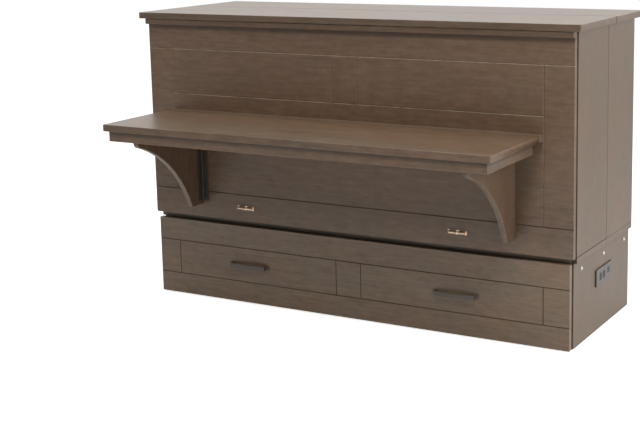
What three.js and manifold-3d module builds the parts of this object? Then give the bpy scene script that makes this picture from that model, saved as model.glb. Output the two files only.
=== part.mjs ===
// A free-standing cabinet bed with a drop-leaf desk on its front.
// Closed, it is a chest: a rolling drawer below, a folded mattress above a sleeping deck, and a lid.
// Millimetres. X runs along the front, Y from the front to the back, Z up from the floor.
// While the pieces are made, Y = 0 is the outer face of the front panel and X = 0 is the middle.
import * as THREE from 'three';
import * as BufferGeometryUtils from 'three/addons/utils/BufferGeometryUtils.js';
import Module from 'manifold-3d';

const wasm = await Module();
wasm.setup();

// Sides of the round pieces
const pinSides = 6;
const barrelSides = 8;
const boltSides = 12;
const wheelSides = 24;
const arcSides = 24;
const softSides = 6;

// The folded mattress and the room round it, which give the overall sizes
const mattressWidth = 1524;
const mattressSection = 677;
const mattressThickness = 152;
const mattressSeam = 2;
const mattressRound = 18;
const mattressSideGap = 73;
const mattressTopGap = 71;
const mattressFrontGap = 18;
const mattressRearGap = 69;

// Level of the deck, the gap between touching pieces, and how far a cutter runs past a face
const deckHeight = 317;
const fit = 0.3;
const cutPast = 1;

// Boards
const sideThickness = 19;
const panelThickness = 20;
const deckThickness = 22;
const backThickness = 12;
const topThickness = 23;

// Lid and top
const topSideOverhang = 27;
const topFrontOverhang = 22;
const topRearOverhang = 8;
const seamSetback = 322;
const seamGap = 0.8;
const edgeEase = 2;

// Sides and side doors
const sideSetback = 34;
const doorTopGap = 0.8;
const doorBottomGap = 1;

// Front panel, its cap rail and the foot panel behind it
const capRailHeight = 20;
const capRailDepth = 17;
const capRailPast = 2;
const capRailTopGap = 0.8;
const footPanelThickness = 19;
const footPanelSideGap = 12;
const footHingeRecess = 9;
const footHingeHeight = 25;

// Routed lines, a V this wide and this deep, and their distances from the edges
const grooveWidth = 3;
const grooveDepth = 2;
const panelTopRail = 111;
const panelMidRail = 468;
const panelBottomRail = 100;
const stileWidth = 105;
const midStileWidth = 102;
const drawerBottomRail = 79;
const drawerTopRail = 84;

// Desk, and its height above the deck
const deskRise = 409;
const deskDepth = 415;
const deskSideGap = 108;
const deskThickness = 24;
const ledgerDepth = 40;
const apronHeight = 36.7;
const apronThickness = 19;
const apronFrontInset = 14;
const apronSideInset = 17;
const apronRearGap = 4;

// Swing brackets under the desk
const bracketInset = 95;
const bracketThickness = 20;
const bracketTipGap = 15;
const bracketRise = 50;
const bracketFoot = 67;
const bracketNose = 55;
const bracketArcRadius = 464;
const restPadThickness = 3;
const restPadLength = 40;

// Ball catches that hold the folded leaf
const catchInset = 215;
const catchLength = 72;
const catchWidth = 16;
const catchPlate = 2;
const catchBarrelRadius = 6;
const catchSlot = 14;
const catchBallRadius = 4.2;
const catchEnd = 5;
const catchSink = 1;
const strikeBlade = 3;
const strikeReach = 15;
const strikeWidth = 16;
const strikeHeight = 28;
const strikeInset = 1;

// Hinges: barrel radius, pin, plate and the free space round the knuckles
const hingePin = 1.5;
const hingePlate = 1.2;
const hingeRun = 0.5;
const longHingeKnuckles = 16;
const bracketHingeKnuckles = 8;
const deckHingeRadius = 3.5;
const deckHingeWidth = 25;
const deckHingeEndGap = 20;
const deskHingeRadius = 3;
const deskHingeWidth = 18;
const deskHingeEndGap = 7;
const bracketHingeRadius = 3.7;
const bracketHingeWidth = 25;
const bracketHingeEndGap = 16;

// Base under the deck
const baseInset = 11;
const baseBackThickness = 12;
const railThickness = 25;
const railHeight = 46;
const beamThickness = 20;
const beamHeight = 60;
const beamSetback = 4;
const boltRadius = 4;
const boltHeadRadius = 7;
const boltHeadHeight = 3.5;
const boltHeadEdge = 2;
const boltHeadFlat = 3.5;
const boltLength = 36;
const boltEndSetback = 106;
const boltRearInset = 55;
const boltDrop = 33;

// Power outlet in the right side of the base
const outletSetback = 245;
const outletLength = 156;
const outletDrop = 77;
const outletHeight = 58;
const outletRecess = 6;
const outletFlange = 10;
const outletDepth = 42;

// Drawer
const drawerFloorGap = 3;
const drawerTopGap = 0.8;
const drawerSideGap = 52;
const drawerFrontInset = 1;
const guideRun = 0.6;
const guideHeight = 22;
const guideBottom = 70;
const guideEndGap = 26;
const drawerSideThickness = 15;
const drawerBottomThickness = 9;
const drawerBottomHeight = 60;
const drawerBeamGap = 7;
const drawerRearGap = 45;
const wheelRadius = 25;
const wheelWidth = 20;
const wheelSetback = 70;
const axleRadius = 5;
const axleGap = 0.6;
const axleHead = 3;
const axleHeadThickness = 2;
const wheelEase = 3;
const earRadius = 14;

// Pulls: a bent strap on two square feet
const pullInset = 427;
const pullLength = 174;
const pullFoot = 16;
const pullStrap = 4;
const pullWidth = 16;
const pullRise = 20;
const pullBow = 8;

// Levels and planes that follow from the sizes above
const mattressFront = panelThickness + footPanelThickness + mattressFrontGap;
const mattressRear = mattressFront + 3 * mattressThickness + 2 * mattressSeam;
const cabinetDepth = mattressRear + mattressRearGap + backThickness;
const lidUnderside = deckHeight + mattressSection + mattressTopGap;
const cabinetHeight = lidUnderside + topThickness;
const halfWidth = mattressWidth / 2 + mattressSideGap + sideThickness;
const baseTop = deckHeight - deckThickness;
const sideInner = halfWidth - sideThickness;
const baseOuter = halfWidth - baseInset;
const baseInner = baseOuter - sideThickness;
const deckFront = panelThickness + 2 * (fit + deckHingeRadius) + hingeRun;
const panelTop = lidUnderside - capRailTopGap;
const deskHeight = deckHeight + deskRise;
const deskUnderside = deskHeight - deskThickness;
const halfDesk = halfWidth - deskSideGap;
const apronInner = deskDepth - apronFrontInset - apronThickness;
const bracketOuter = halfDesk - bracketInset;
const bracketReach = apronInner - bracketTipGap;
const bracketBottom = deckHeight + bracketRise;
const bracketTop = deskUnderside - 2 * fit - restPadThickness;
const drawerTop = deckHeight - panelThickness - drawerTopGap;
const drawerOuter = baseInner - drawerSideGap;
const drawerInner = drawerOuter - drawerSideThickness;
const drawerBack = cabinetDepth - drawerRearGap - backThickness;
const boxTop = baseTop - beamHeight - drawerBeamGap;
const outletTop = baseTop - outletDrop;
const outletBottom = outletTop - outletHeight;
const pullHeight = (drawerFloorGap + drawerBottomRail + drawerTop - drawerTopRail) / 2;

const wood = { color: 0x85786a, roughness: 0.55, metalness: 0 };
const palette = {
  wood: new THREE.MeshStandardMaterial(wood),
  ply: new THREE.MeshStandardMaterial({ color: 0xb59a72, roughness: 0.7, metalness: 0 }),
  steel: new THREE.MeshStandardMaterial({ color: 0x9b9a97, roughness: 0.35, metalness: 1 }),
  brass: new THREE.MeshStandardMaterial({ color: 0xcaa14a, roughness: 0.25, metalness: 1 }),
  bronze: new THREE.MeshStandardMaterial({ color: 0x3a352f, roughness: 0.4, metalness: 0.9 }),
  plastic: new THREE.MeshStandardMaterial({ color: 0x55524e, roughness: 0.5, metalness: 0 }),
  felt: new THREE.MeshStandardMaterial({ color: 0x4a4038, roughness: 0.95, metalness: 0 }),
  tread: new THREE.MeshStandardMaterial({ color: 0x2d2d2e, roughness: 0.8, metalness: 0 }),
  ticking: new THREE.MeshStandardMaterial({ color: 0xe8e4dc, roughness: 0.9, metalness: 0 }),
};

// A named piece of one material, added to the group of the body it moves with.
function piece(body, name, geometry, material) {
  const mesh = new THREE.Mesh(geometry, palette[material].clone());
  mesh.name = name;
  body.add(mesh);
}

// Geometry to solid and back, for the cuts and joins.
function solid(geometry) {
  const plain = geometry.clone();
  plain.deleteAttribute('normal');
  plain.deleteAttribute('uv');
  const merged = BufferGeometryUtils.mergeVertices(plain, 1e-4);
  const vertProperties = new Float32Array(merged.attributes.position.array);
  const triVerts = new Uint32Array(merged.index.array);
  return new wasm.Manifold(new wasm.Mesh({ numProp: 3, vertProperties, triVerts }));
}

function surface(manifold) {
  const mesh = manifold.getMesh();
  const geometry = new THREE.BufferGeometry();
  geometry.setAttribute('position', new THREE.BufferAttribute(mesh.vertProperties, 3));
  geometry.setIndex(new THREE.BufferAttribute(mesh.triVerts, 1));
  geometry.computeVertexNormals();
  return geometry;
}

// A plain board between two corners.
function board([x0, x1], [y0, y1], [z0, z1]) {
  const box = new THREE.BoxGeometry(x1 - x0, y1 - y0, z1 - z0);
  return box.translate((x0 + x1) / 2, (y0 + y1) / 2, (z0 + z1) / 2);
}

function outline(points) {
  return new THREE.Shape(points.map(([a, b]) => new THREE.Vector2(a, b)));
}

function disc([a, b], radius) {
  const shape = new THREE.Shape();
  shape.absarc(a, b, radius, 0, 2 * Math.PI);
  return shape;
}

// An outline drawn in Y and Z, drawn out along X.
function alongX(shape, x0, x1, curveSegments = barrelSides) {
  const geometry = new THREE.ExtrudeGeometry(shape, { depth: x1 - x0, bevelEnabled: false, curveSegments });
  const turn = new THREE.Matrix4().makeBasis(
    new THREE.Vector3(0, 1, 0),
    new THREE.Vector3(0, 0, 1),
    new THREE.Vector3(1, 0, 0),
  );
  return geometry.applyMatrix4(turn).translate(x0, 0, 0);
}

// An outline drawn in X and Y, drawn out along Z.
function alongZ(shape, z0, z1, curveSegments = barrelSides) {
  const geometry = new THREE.ExtrudeGeometry(shape, { depth: z1 - z0, bevelEnabled: false, curveSegments });
  return geometry.translate(0, 0, z0);
}

// The centre of an arc of a given radius from p to q, which turns clockwise about it.
function arcCentre([py, pz], [qy, qz], radius) {
  const halfChord = Math.hypot(qy - py, qz - pz) / 2;
  const rise = Math.sqrt(radius * radius - halfChord * halfChord);
  const along = [(qy - py) / (2 * halfChord), (qz - pz) / (2 * halfChord)];
  return [(py + qy) / 2 + rise * along[1], (pz + qz) / 2 - rise * along[0]];
}

// V-shaped routed lines in a face at Y = 0. A line along X or Z is given by its ends.
function grooveAcross(z, x0, x1) {
  const half = grooveWidth / 2;
  const vee = [[-cutPast, z - half], [0, z - half], [grooveDepth, z], [0, z + half], [-cutPast, z + half]];
  return solid(alongX(outline(vee), x0, x1));
}

function grooveUp(x, z0, z1) {
  const half = grooveWidth / 2;
  const vee = [[x - half, -cutPast], [x + half, -cutPast], [x + half, 0], [x, grooveDepth], [x - half, 0]];
  return solid(alongZ(outline(vee), z0, z1));
}

function cutAll(body, cutters) {
  return cutters.reduce((rest, cutter) => rest.subtract(cutter), body);
}

// One leaf of a continuous hinge. place turns the leaf's own directions (u away from the pin,
// v off the surface) into the plane that extrude draws out along the pin.
// Knuckles alternate between the two leaves; one leaf holds the pin and the other is bored for it.
function hingeLeaf({ radius, width, offset, start, length, count, odd, place, extrude }) {
  const pitch = length / count;
  const clear = radius + hingeRun;
  const strip = (u0, u1) => outline([
    place(u0, offset),
    place(u1, offset),
    place(u1, offset + hingePlate),
    place(u0, offset + hingePlate),
  ]);
  let leaf = solid(extrude(strip(clear, width), start, start + length));
  for (let i = odd ? 1 : 0; i < count; i += 2) {
    const from = start + i * pitch + hingeRun / 2;
    const to = start + (i + 1) * pitch - hingeRun / 2;
    leaf = leaf.add(solid(extrude(strip(0, clear + hingePlate), from, to)));
    leaf = leaf.add(solid(extrude(disc(place(0, 0), radius), from, to)));
  }
  if (odd) {
    const bore = extrude(disc(place(0, 0), hingePin + hingeRun), start - cutPast, start + length + cutPast);
    return surface(leaf.subtract(solid(bore)));
  }
  return surface(leaf.add(solid(extrude(disc(place(0, 0), hingePin), start, start + length, pinSides))));
}

// The carcass above the deck: rear side panels with a strip below each door, the back and the fixed top.
function upperCabinet(body) {
  const seam = seamSetback + seamGap / 2;
  const stripTop = deckHeight - doorBottomGap / 2;
  const profile = outline([
    [sideSetback, baseTop],
    [cabinetDepth, baseTop],
    [cabinetDepth, lidUnderside - fit],
    [seam, lidUnderside - fit],
    [seam, stripTop],
    [sideSetback, stripTop],
  ]);
  piece(body, 'upper_side_left', alongX(profile, -halfWidth, -sideInner), 'wood');
  piece(body, 'upper_side_right', alongX(profile, sideInner, halfWidth), 'wood');
  const inside = [-sideInner + fit, sideInner - fit];
  const backPlace = [cabinetDepth - backThickness, cabinetDepth];
  piece(body, 'upper_back', board(inside, backPlace, [deckHeight + fit, lidUnderside - fit]), 'ply');
  piece(body, 'sleeping_deck', board(inside, [deckFront, cabinetDepth], [baseTop, deckHeight]), 'ply');
  piece(body, 'top_rear', topBoard(seam, cabinetDepth + topRearOverhang, false), 'wood');
}

// Half of the top, with its outer long edge eased.
function topBoard(y0, y1, easeFront) {
  const outerY = easeFront ? y0 : y1;
  const inward = easeFront ? edgeEase : -edgeEase;
  const innerY = easeFront ? y1 : y0;
  const profile = outline([
    [innerY, lidUnderside],
    [outerY + inward, lidUnderside],
    [outerY, lidUnderside + edgeEase],
    [outerY, cabinetHeight - edgeEase],
    [outerY + inward, cabinetHeight],
    [innerY, cabinetHeight],
  ]);
  const reach = halfWidth + topSideOverhang;
  return alongX(profile, -reach, reach);
}

function lid(body) {
  piece(body, 'lid', topBoard(-topFrontOverhang, seamSetback - seamGap / 2, true), 'wood');
}

function sideDoor(body, name, side) {
  const across = side > 0 ? [sideInner, halfWidth] : [-halfWidth, -sideInner];
  const run = [sideSetback, seamSetback - seamGap / 2];
  const door = board(across, run, [deckHeight + doorBottomGap / 2, lidUnderside - doorTopGap]);
  piece(body, name, door, 'wood');
}

// The base under the deck: sides, back, the rails and the beam that carry the deck, the side bolts
// and the guides that keep the rolling drawer straight.
function base(body) {
  const depth = [sideSetback, cabinetDepth];
  const height = [0, baseTop - fit];
  const boltHeight = baseTop - boltDrop;
  const boltEnds = [boltEndSetback, cabinetDepth - boltRearInset];
  const boltSetbacks = [boltEnds[0], (boltEnds[0] + boltEnds[1]) / 2, boltEnds[1]];
  const beamPlace = [sideSetback + beamSetback, sideSetback + beamSetback + beamThickness];
  const boltHole = (y, x0, x1) => solid(alongX(disc([y, boltHeight], boltRadius + fit), x0, x1, boltSides));
  for (const [word, side] of [['left', -1], ['right', 1]]) {
    const span = (near, far) => (side > 0 ? [near, far] : [-far, -near]);
    const holes = (near, far) => boltSetbacks.map((y) => boltHole(y, ...span(near, far)));
    let wall = solid(board(span(baseInner, baseOuter), depth, height));
    wall = cutAll(wall, holes(baseInner - cutPast, baseOuter + cutPast));
    if (side > 0) {
      const window = board(
        [baseInner - cutPast, baseOuter + cutPast],
        [outletSetback, outletSetback + outletLength],
        [outletBottom, outletTop],
      );
      wall = wall.subtract(solid(window));
    }
    piece(body, `base_side_${word}`, surface(wall), 'wood');

    const railOuter = baseInner - fit;
    const railInner = railOuter - railThickness;
    const railRun = [beamPlace[1] + fit, cabinetDepth - baseBackThickness - fit];
    const rail = solid(board(span(railInner, railOuter), railRun, [baseTop - fit - railHeight, baseTop - fit]));
    const tip = baseOuter + fit - boltLength;
    piece(body, `deck_rail_${word}`, surface(cutAll(rail, holes(tip - fit, railOuter + cutPast))), 'wood');
    boltSetbacks.forEach((y, i) => {
      const bolt = sideBolt().rotateY(side > 0 ? Math.PI / 2 : -Math.PI / 2);
      bolt.translate(side * (baseOuter + fit), y, boltHeight);
      piece(body, `side_bolt_${word}_${i + 1}`, bolt, 'steel');
    });
    const guideX = span(drawerOuter + guideRun, railOuter);
    const guideY = [sideSetback + guideEndGap, cabinetDepth - baseBackThickness - guideEndGap];
    const guide = board(guideX, guideY, [guideBottom, guideBottom + guideHeight]);
    piece(body, `drawer_guide_${word}`, guide, 'wood');
  }
  const between = [-baseInner + fit, baseInner - fit];
  piece(body, 'base_back', board(between, [cabinetDepth - baseBackThickness, cabinetDepth], height), 'ply');
  piece(body, 'deck_beam', board(between, beamPlace, [baseTop - fit - beamHeight, baseTop - fit]), 'wood');
}

// A bolt turned about Z: its round head above zero and its shank below.
function sideBolt() {
  const profile = [
    [0, -boltLength],
    [boltRadius, -boltLength],
    [boltRadius, 0],
    [boltHeadRadius, 0],
    [boltHeadRadius - boltHeadHeight + boltHeadEdge, boltHeadEdge],
    [boltHeadFlat, boltHeadHeight],
    [0, boltHeadHeight],
  ];
  const points = profile.map(([r, z]) => new THREE.Vector2(r, z));
  return new THREE.LatheGeometry(points, boltSides).rotateX(Math.PI / 2);
}

// The outlet box sits behind the side and its nose fills the window, set back from the outer face.
function powerOutlet(body) {
  const nose = board(
    [baseInner - 2 * fit, baseOuter - outletRecess],
    [outletSetback + fit, outletSetback + outletLength - fit],
    [outletBottom + fit, outletTop - fit],
  );
  const box = board(
    [baseInner - outletDepth, baseInner - fit],
    [outletSetback - outletFlange, outletSetback + outletLength + outletFlange],
    [outletBottom - outletFlange, outletTop + outletFlange],
  );
  piece(body, 'power_outlet', surface(solid(nose).add(solid(box))), 'plastic');
}

// The mattress stands on the deck as three sections joined at the folds.
function mattress(body) {
  const front = mattressFront;
  const back = mattressRear;
  const low = deckHeight + fit;
  const high = low + mattressSection;
  const slot1 = front + mattressThickness;
  const slot2 = slot1 + mattressSeam + mattressThickness;
  const r = mattressRound;
  const shape = new THREE.Shape();
  shape.moveTo(front + r, low);
  shape.lineTo(slot1, low);
  shape.lineTo(slot1, high - r);
  shape.lineTo(slot1 + mattressSeam, high - r);
  shape.lineTo(slot1 + mattressSeam, low + r);
  shape.absarc(slot1 + mattressSeam + r, low + r, r, Math.PI, 1.5 * Math.PI, false);
  shape.lineTo(back - r, low);
  shape.absarc(back - r, low + r, r, 1.5 * Math.PI, 2 * Math.PI, false);
  shape.lineTo(back, high - r);
  shape.absarc(back - r, high - r, r, 0, Math.PI / 2, false);
  shape.lineTo(slot2 + mattressSeam, high);
  shape.lineTo(slot2 + mattressSeam, low + r);
  shape.lineTo(slot2, low + r);
  shape.lineTo(slot2, high - r);
  shape.absarc(slot2 - r, high - r, r, 0, Math.PI / 2, false);
  shape.lineTo(front + r, high);
  shape.absarc(front + r, high - r, r, Math.PI / 2, Math.PI, false);
  shape.lineTo(front, low + r);
  shape.absarc(front + r, low + r, r, Math.PI, 1.5 * Math.PI, false);
  piece(body, 'mattress', alongX(shape, -mattressWidth / 2, mattressWidth / 2, softSides), 'ticking');
}

// The long hinge between the deck and the front panel; its pin is the panel's axis.
function deckHinge(fixedBody, movingBody) {
  const axisY = panelThickness + fit + deckHingeRadius;
  const axisZ = deckHeight + fit + deckHingeRadius;
  const length = 2 * (sideInner - deckHingeEndGap);
  const common = {
    radius: deckHingeRadius,
    width: deckHingeWidth,
    offset: -deckHingeRadius,
    start: -length / 2,
    length,
    count: longHingeKnuckles,
    extrude: alongX,
  };
  const onDeck = { ...common, odd: false, place: (u, v) => [axisY + u, axisZ + v] };
  const onPanel = { ...common, odd: true, place: (u, v) => [axisY + v, axisZ + u] };
  piece(fixedBody, 'deck_hinge_fixed', hingeLeaf(onDeck), 'steel');
  piece(movingBody, 'deck_hinge_moving', hingeLeaf(onPanel), 'steel');
}

// The front panel with its routed frame, the cap rail, and the foot panel folded behind it.
function frontPanel(body) {
  const topLine = panelTop - panelTopRail;
  const bottomLine = deckHeight + panelBottomRail;
  const midLine = deckHeight + panelMidRail;
  const stile = halfWidth - stileWidth;
  const midStile = midStileWidth / 2;
  const lines = [
    grooveAcross(topLine, -halfWidth - cutPast, halfWidth + cutPast),
    grooveAcross(bottomLine, -halfWidth - cutPast, halfWidth + cutPast),
    grooveAcross(midLine, -stile, stile),
    grooveUp(-stile, bottomLine, topLine),
    grooveUp(stile, bottomLine, topLine),
    grooveUp(-midStile, midLine, topLine),
    grooveUp(midStile, midLine, topLine),
  ];
  const sheet = solid(board([-halfWidth, halfWidth], [0, panelThickness], [deckHeight, panelTop]));
  const recess = board(
    [-halfWidth - cutPast, halfWidth + cutPast],
    [panelThickness - deckHingeRadius, panelThickness + cutPast],
    [panelTop - footHingeRecess, panelTop + cutPast],
  );
  piece(body, 'front_panel', surface(cutAll(sheet, [...lines, solid(recess)])), 'wood');

  const railPlace = [-capRailDepth - fit, -fit];
  const capEnd = halfWidth + capRailPast;
  const capProfile = outline([
    [railPlace[1], panelTop - capRailHeight],
    [railPlace[0] + edgeEase, panelTop - capRailHeight],
    [railPlace[0], panelTop - capRailHeight + edgeEase],
    [railPlace[0], panelTop],
    [railPlace[1], panelTop],
  ]);
  piece(body, 'cap_rail', alongX(capProfile, -capEnd, capEnd), 'wood');

  const hingeY = [panelThickness + fit, panelThickness + fit + 2 * hingePlate];
  const footTop = panelTop - footHingeRecess - fit;
  const footX = sideInner - footPanelSideGap;
  const footBottom = deckHeight + deckHingeWidth + 2 * deckHingeRadius + fit;
  const footY = [hingeY[1] + fit, hingeY[1] + fit + footPanelThickness];
  const foot = solid(board([-footX, footX], footY, [footBottom, footTop]));
  const barrelCentre = [panelThickness + fit + hingePlate, footTop + fit + hingePlate + deckHingeRadius / 2];
  const barrel = solid(alongX(disc(barrelCentre, deckHingeRadius - fit), -footX, footX));
  const plates = solid(board([-footX, footX], hingeY, [footTop - footHingeHeight, barrelCentre[1]]));
  const room = board(
    [-footX - cutPast, footX + cutPast],
    [hingeY[1], barrelCentre[0] + deckHingeRadius],
    [barrelCentre[1] - deckHingeRadius, footTop + cutPast],
  );
  piece(body, 'foot_panel', surface(foot.subtract(solid(room))), 'ply');
  piece(body, 'foot_panel_hinge', surface(plates.add(barrel)), 'steel');
}

// The desk: a ledger fixed to the panel, and a leaf hinged to it with an apron on three sides.
function rebatedEdge(joint, into) {
  const y = (distance) => joint + into * distance;
  return [
    [y(seamGap / 2), deskHeight],
    [y(seamGap / 2), deskUnderside + deskHingeRadius + hingeRun],
    [y(deskHingeRadius + hingeRun), deskUnderside + deskHingeRadius + hingeRun],
    [y(deskHingeRadius + hingeRun), deskUnderside + hingePlate + 2 * fit],
    [y(deskHingeWidth + hingeRun), deskUnderside + hingePlate + 2 * fit],
    [y(deskHingeWidth + hingeRun), deskUnderside],
  ];
}

function ledger(body) {
  const profile = [...rebatedEdge(-ledgerDepth, 1), [-fit, deskUnderside], [-fit, deskHeight]];
  piece(body, 'desk_ledger', alongX(outline(profile), -halfDesk, halfDesk), 'wood');
}

function deskLeaf(body) {
  const front = [
    [-deskDepth + edgeEase, deskUnderside],
    [-deskDepth, deskUnderside + edgeEase],
    [-deskDepth, deskHeight - edgeEase],
    [-deskDepth + edgeEase, deskHeight],
  ];
  const profile = outline([...rebatedEdge(-ledgerDepth, -1), ...front]);
  piece(body, 'desk_leaf', alongX(profile, -halfDesk, halfDesk), 'wood');

  const apronZ = [deskUnderside - fit - apronHeight, deskUnderside - fit];
  const apronEnd = halfDesk - apronSideInset;
  const frontY = [-deskDepth + apronFrontInset, -apronInner];
  const sideY = [-apronInner + fit, -ledgerDepth - apronRearGap];
  piece(body, 'apron_front', board([-apronEnd, apronEnd], frontY, apronZ), 'wood');
  piece(body, 'apron_left', board([-apronEnd, apronThickness - apronEnd], sideY, apronZ), 'wood');
  piece(body, 'apron_right', board([apronEnd - apronThickness, apronEnd], sideY, apronZ), 'wood');

  const padZ = [deskUnderside - fit - restPadThickness, deskUnderside - fit];
  const padY = [-bracketReach + fit, -bracketReach + fit + restPadLength];
  piece(body, 'rest_pad_left', board([-bracketOuter, bracketThickness - bracketOuter], padY, padZ), 'felt');
  piece(body, 'rest_pad_right', board([bracketOuter - bracketThickness, bracketOuter], padY, padZ), 'felt');
}

function deskHinge(fixedBody, movingBody) {
  const half = halfDesk - apronSideInset - apronThickness - deskHingeEndGap;
  const common = {
    radius: deskHingeRadius,
    width: deskHingeWidth,
    offset: fit,
    start: -half,
    length: 2 * half,
    count: longHingeKnuckles,
    extrude: alongX,
  };
  const onLedger = { ...common, odd: false, place: (u, v) => [-ledgerDepth + u, deskUnderside + v] };
  const onLeaf = { ...common, odd: true, place: (u, v) => [-ledgerDepth - u, deskUnderside + v] };
  piece(fixedBody, 'desk_hinge_fixed', hingeLeaf(onLedger), 'steel');
  piece(movingBody, 'desk_hinge_moving', hingeLeaf(onLeaf), 'steel');
}

// A swing bracket: a plate with a concave front edge, on a long hinge in its inner rear corner.
// Swung inward, it lies flat against the panel, behind the folded leaf.
function swingBracket(fixedBody, movingBody, word, side) {
  const span = (near, far) => (side > 0 ? [near, far] : [-far, -near]);
  const foot = [-bracketFoot, bracketBottom];
  const nose = [-bracketReach, bracketTop - bracketNose];
  const [centreY, centreZ] = arcCentre(nose, foot, bracketArcRadius);
  const angle = ([y, z]) => Math.atan2(z - centreZ, y - centreY);
  const shape = new THREE.Shape();
  shape.moveTo(-2 * fit, bracketBottom);
  shape.lineTo(-2 * fit, bracketTop);
  shape.lineTo(-bracketReach, bracketTop);
  shape.lineTo(...nose);
  shape.absarc(centreY, centreZ, bracketArcRadius, angle(nose), angle(foot), true);
  const inner = bracketOuter - bracketThickness;
  piece(movingBody, `bracket_${word}`, alongX(shape, ...span(inner, bracketOuter), arcSides), 'wood');

  const axisX = inner - fit - bracketHingeRadius;
  const axisY = -fit - bracketHingeRadius;
  const common = {
    radius: bracketHingeRadius,
    width: bracketHingeWidth,
    offset: -bracketHingeRadius,
    start: bracketBottom + bracketHingeEndGap,
    length: bracketTop - bracketBottom - 2 * bracketHingeEndGap,
    count: bracketHingeKnuckles,
    extrude: alongZ,
  };
  const onPanel = { ...common, odd: false, place: (u, v) => [side * (axisX - u), axisY - v] };
  const onBracket = { ...common, odd: true, place: (u, v) => [side * (axisX - v), axisY - u] };
  piece(fixedBody, `bracket_hinge_fixed_${word}`, hingeLeaf(onPanel), 'steel');
  piece(movingBody, `bracket_hinge_moving_${word}`, hingeLeaf(onBracket), 'steel');
}

// A double-ball catch: two sprung balls face each other across a slot that the strike's blade enters.
function ballCatch(panelBody, leafBody, word, side) {
  const bladeMiddle = strikeReach / 2;
  const height = deskUnderside + ledgerDepth - apronInner + fit + bladeMiddle;
  const middle = side * (bracketOuter - catchInset);
  const depth = -fit - catchPlate - catchBarrelRadius + catchSink;
  const plateX = [middle - catchLength / 2, middle + catchLength / 2];
  const plateZ = [height - catchWidth / 2, height + catchWidth / 2];
  let body = solid(board(plateX, [-fit - catchPlate, -fit], plateZ));
  for (const end of [-1, 1]) {
    const near = middle + end * catchSlot / 2;
    const far = middle + end * (catchLength / 2 - catchEnd);
    const barrel = alongX(disc([depth, height], catchBarrelRadius), Math.min(near, far), Math.max(near, far));
    const ball = new THREE.SphereGeometry(catchBallRadius, boltSides, softSides).translate(near, depth, height);
    body = body.add(solid(barrel)).add(solid(ball));
  }
  piece(panelBody, `catch_${word}`, surface(body), 'brass');

  const plateY = [-apronInner + fit, -apronInner + fit + catchPlate];
  const low = deskUnderside - fit - apronHeight + strikeInset;
  const strikeX = [middle - strikeWidth / 2, middle + strikeWidth / 2];
  const plate = board(strikeX, plateY, [low, low + strikeHeight]);
  const bladeX = [middle - strikeBlade / 2, middle + strikeBlade / 2];
  const blade = board(bladeX, [plateY[0], plateY[0] + strikeReach], [low, low + 2 * catchBarrelRadius]);
  piece(leafBody, `strike_${word}`, surface(solid(plate).add(solid(blade))), 'brass');
}

// The drawer: a front that covers the base, a box behind it, and four wheels on stub axles.
function drawer(body) {
  const frontX = [-baseOuter + drawerFrontInset, baseOuter - drawerFrontInset];
  const lowLine = drawerFloorGap + drawerBottomRail;
  const highLine = drawerTop - drawerTopRail;
  const stile = halfWidth - stileWidth - baseInset;
  const lines = [grooveAcross(lowLine, -halfWidth, halfWidth), grooveAcross(highLine, -halfWidth, halfWidth)];
  for (const x of [-stile, -midStileWidth / 2, midStileWidth / 2, stile]) {
    lines.push(grooveUp(x, lowLine, highLine));
  }
  const front = solid(board(frontX, [0, panelThickness], [drawerFloorGap, drawerTop]));
  piece(body, 'drawer_front', surface(cutAll(front, lines)), 'wood');

  const start = panelThickness + fit;
  const between = [-drawerInner + fit, drawerInner - fit];
  const backY = [drawerBack - drawerSideThickness, drawerBack];
  const floorZ = [drawerBottomHeight, drawerBottomHeight + drawerBottomThickness];
  piece(body, 'drawer_side_left', drawerSide(-1), 'ply');
  piece(body, 'drawer_side_right', drawerSide(1), 'ply');
  piece(body, 'drawer_back', board(between, backY, [drawerBottomHeight, boxTop]), 'ply');
  piece(body, 'drawer_bottom', board(between, [start, backY[0] - fit], floorZ), 'ply');
}

function wheelPlaces() {
  return [panelThickness + wheelSetback, drawerBack - wheelSetback];
}

// A drawer side with two rounded ears that reach down past the box and carry the stub axles.
function drawerSide(side) {
  const span = (near, far) => (side > 0 ? [near, far] : [-far, -near]);
  const start = panelThickness + fit;
  const shape = new THREE.Shape();
  const low = drawerBottomHeight;
  shape.moveTo(start, low);
  for (const y of wheelPlaces()) {
    shape.lineTo(y - 2 * earRadius, low);
    shape.lineTo(y - earRadius, wheelRadius);
    shape.absarc(y, wheelRadius, earRadius, Math.PI, 2 * Math.PI, false);
    shape.lineTo(y + 2 * earRadius, low);
  }
  shape.lineTo(drawerBack, low);
  shape.lineTo(drawerBack, boxTop);
  shape.lineTo(start, boxTop);
  let wall = solid(alongX(shape, ...span(drawerInner, drawerOuter)));
  const tip = drawerInner - wheelWidth - 3 * axleGap;
  for (const y of wheelPlaces()) {
    const axle = disc([y, wheelRadius], axleRadius);
    const head = disc([y, wheelRadius], axleRadius + axleHead);
    wall = wall.add(solid(alongX(axle, ...span(tip, drawerInner + cutPast), boltSides)));
    wall = wall.add(solid(alongX(head, ...span(tip - axleHeadThickness, tip), boltSides)));
  }
  return surface(wall);
}

// A wheel with a rounded tread and a bore that runs on the stub axle.
function drawerWheel(body, name, side, y) {
  const half = wheelWidth / 2;
  const bore = axleRadius + axleGap;
  const profile = [
    [bore, -half],
    [wheelRadius - wheelEase, -half],
    [wheelRadius, wheelEase - half],
    [wheelRadius, half - wheelEase],
    [wheelRadius - wheelEase, half],
    [bore, half],
    [bore, -half],
  ];
  const wheel = new THREE.LatheGeometry(profile.map(([r, x]) => new THREE.Vector2(r, x)), wheelSides);
  wheel.rotateZ(-Math.PI / 2);
  const middle = side * (drawerInner - 1.5 * axleGap - half);
  piece(body, name, wheel.translate(middle, y, wheelRadius), 'tread');
}

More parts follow.
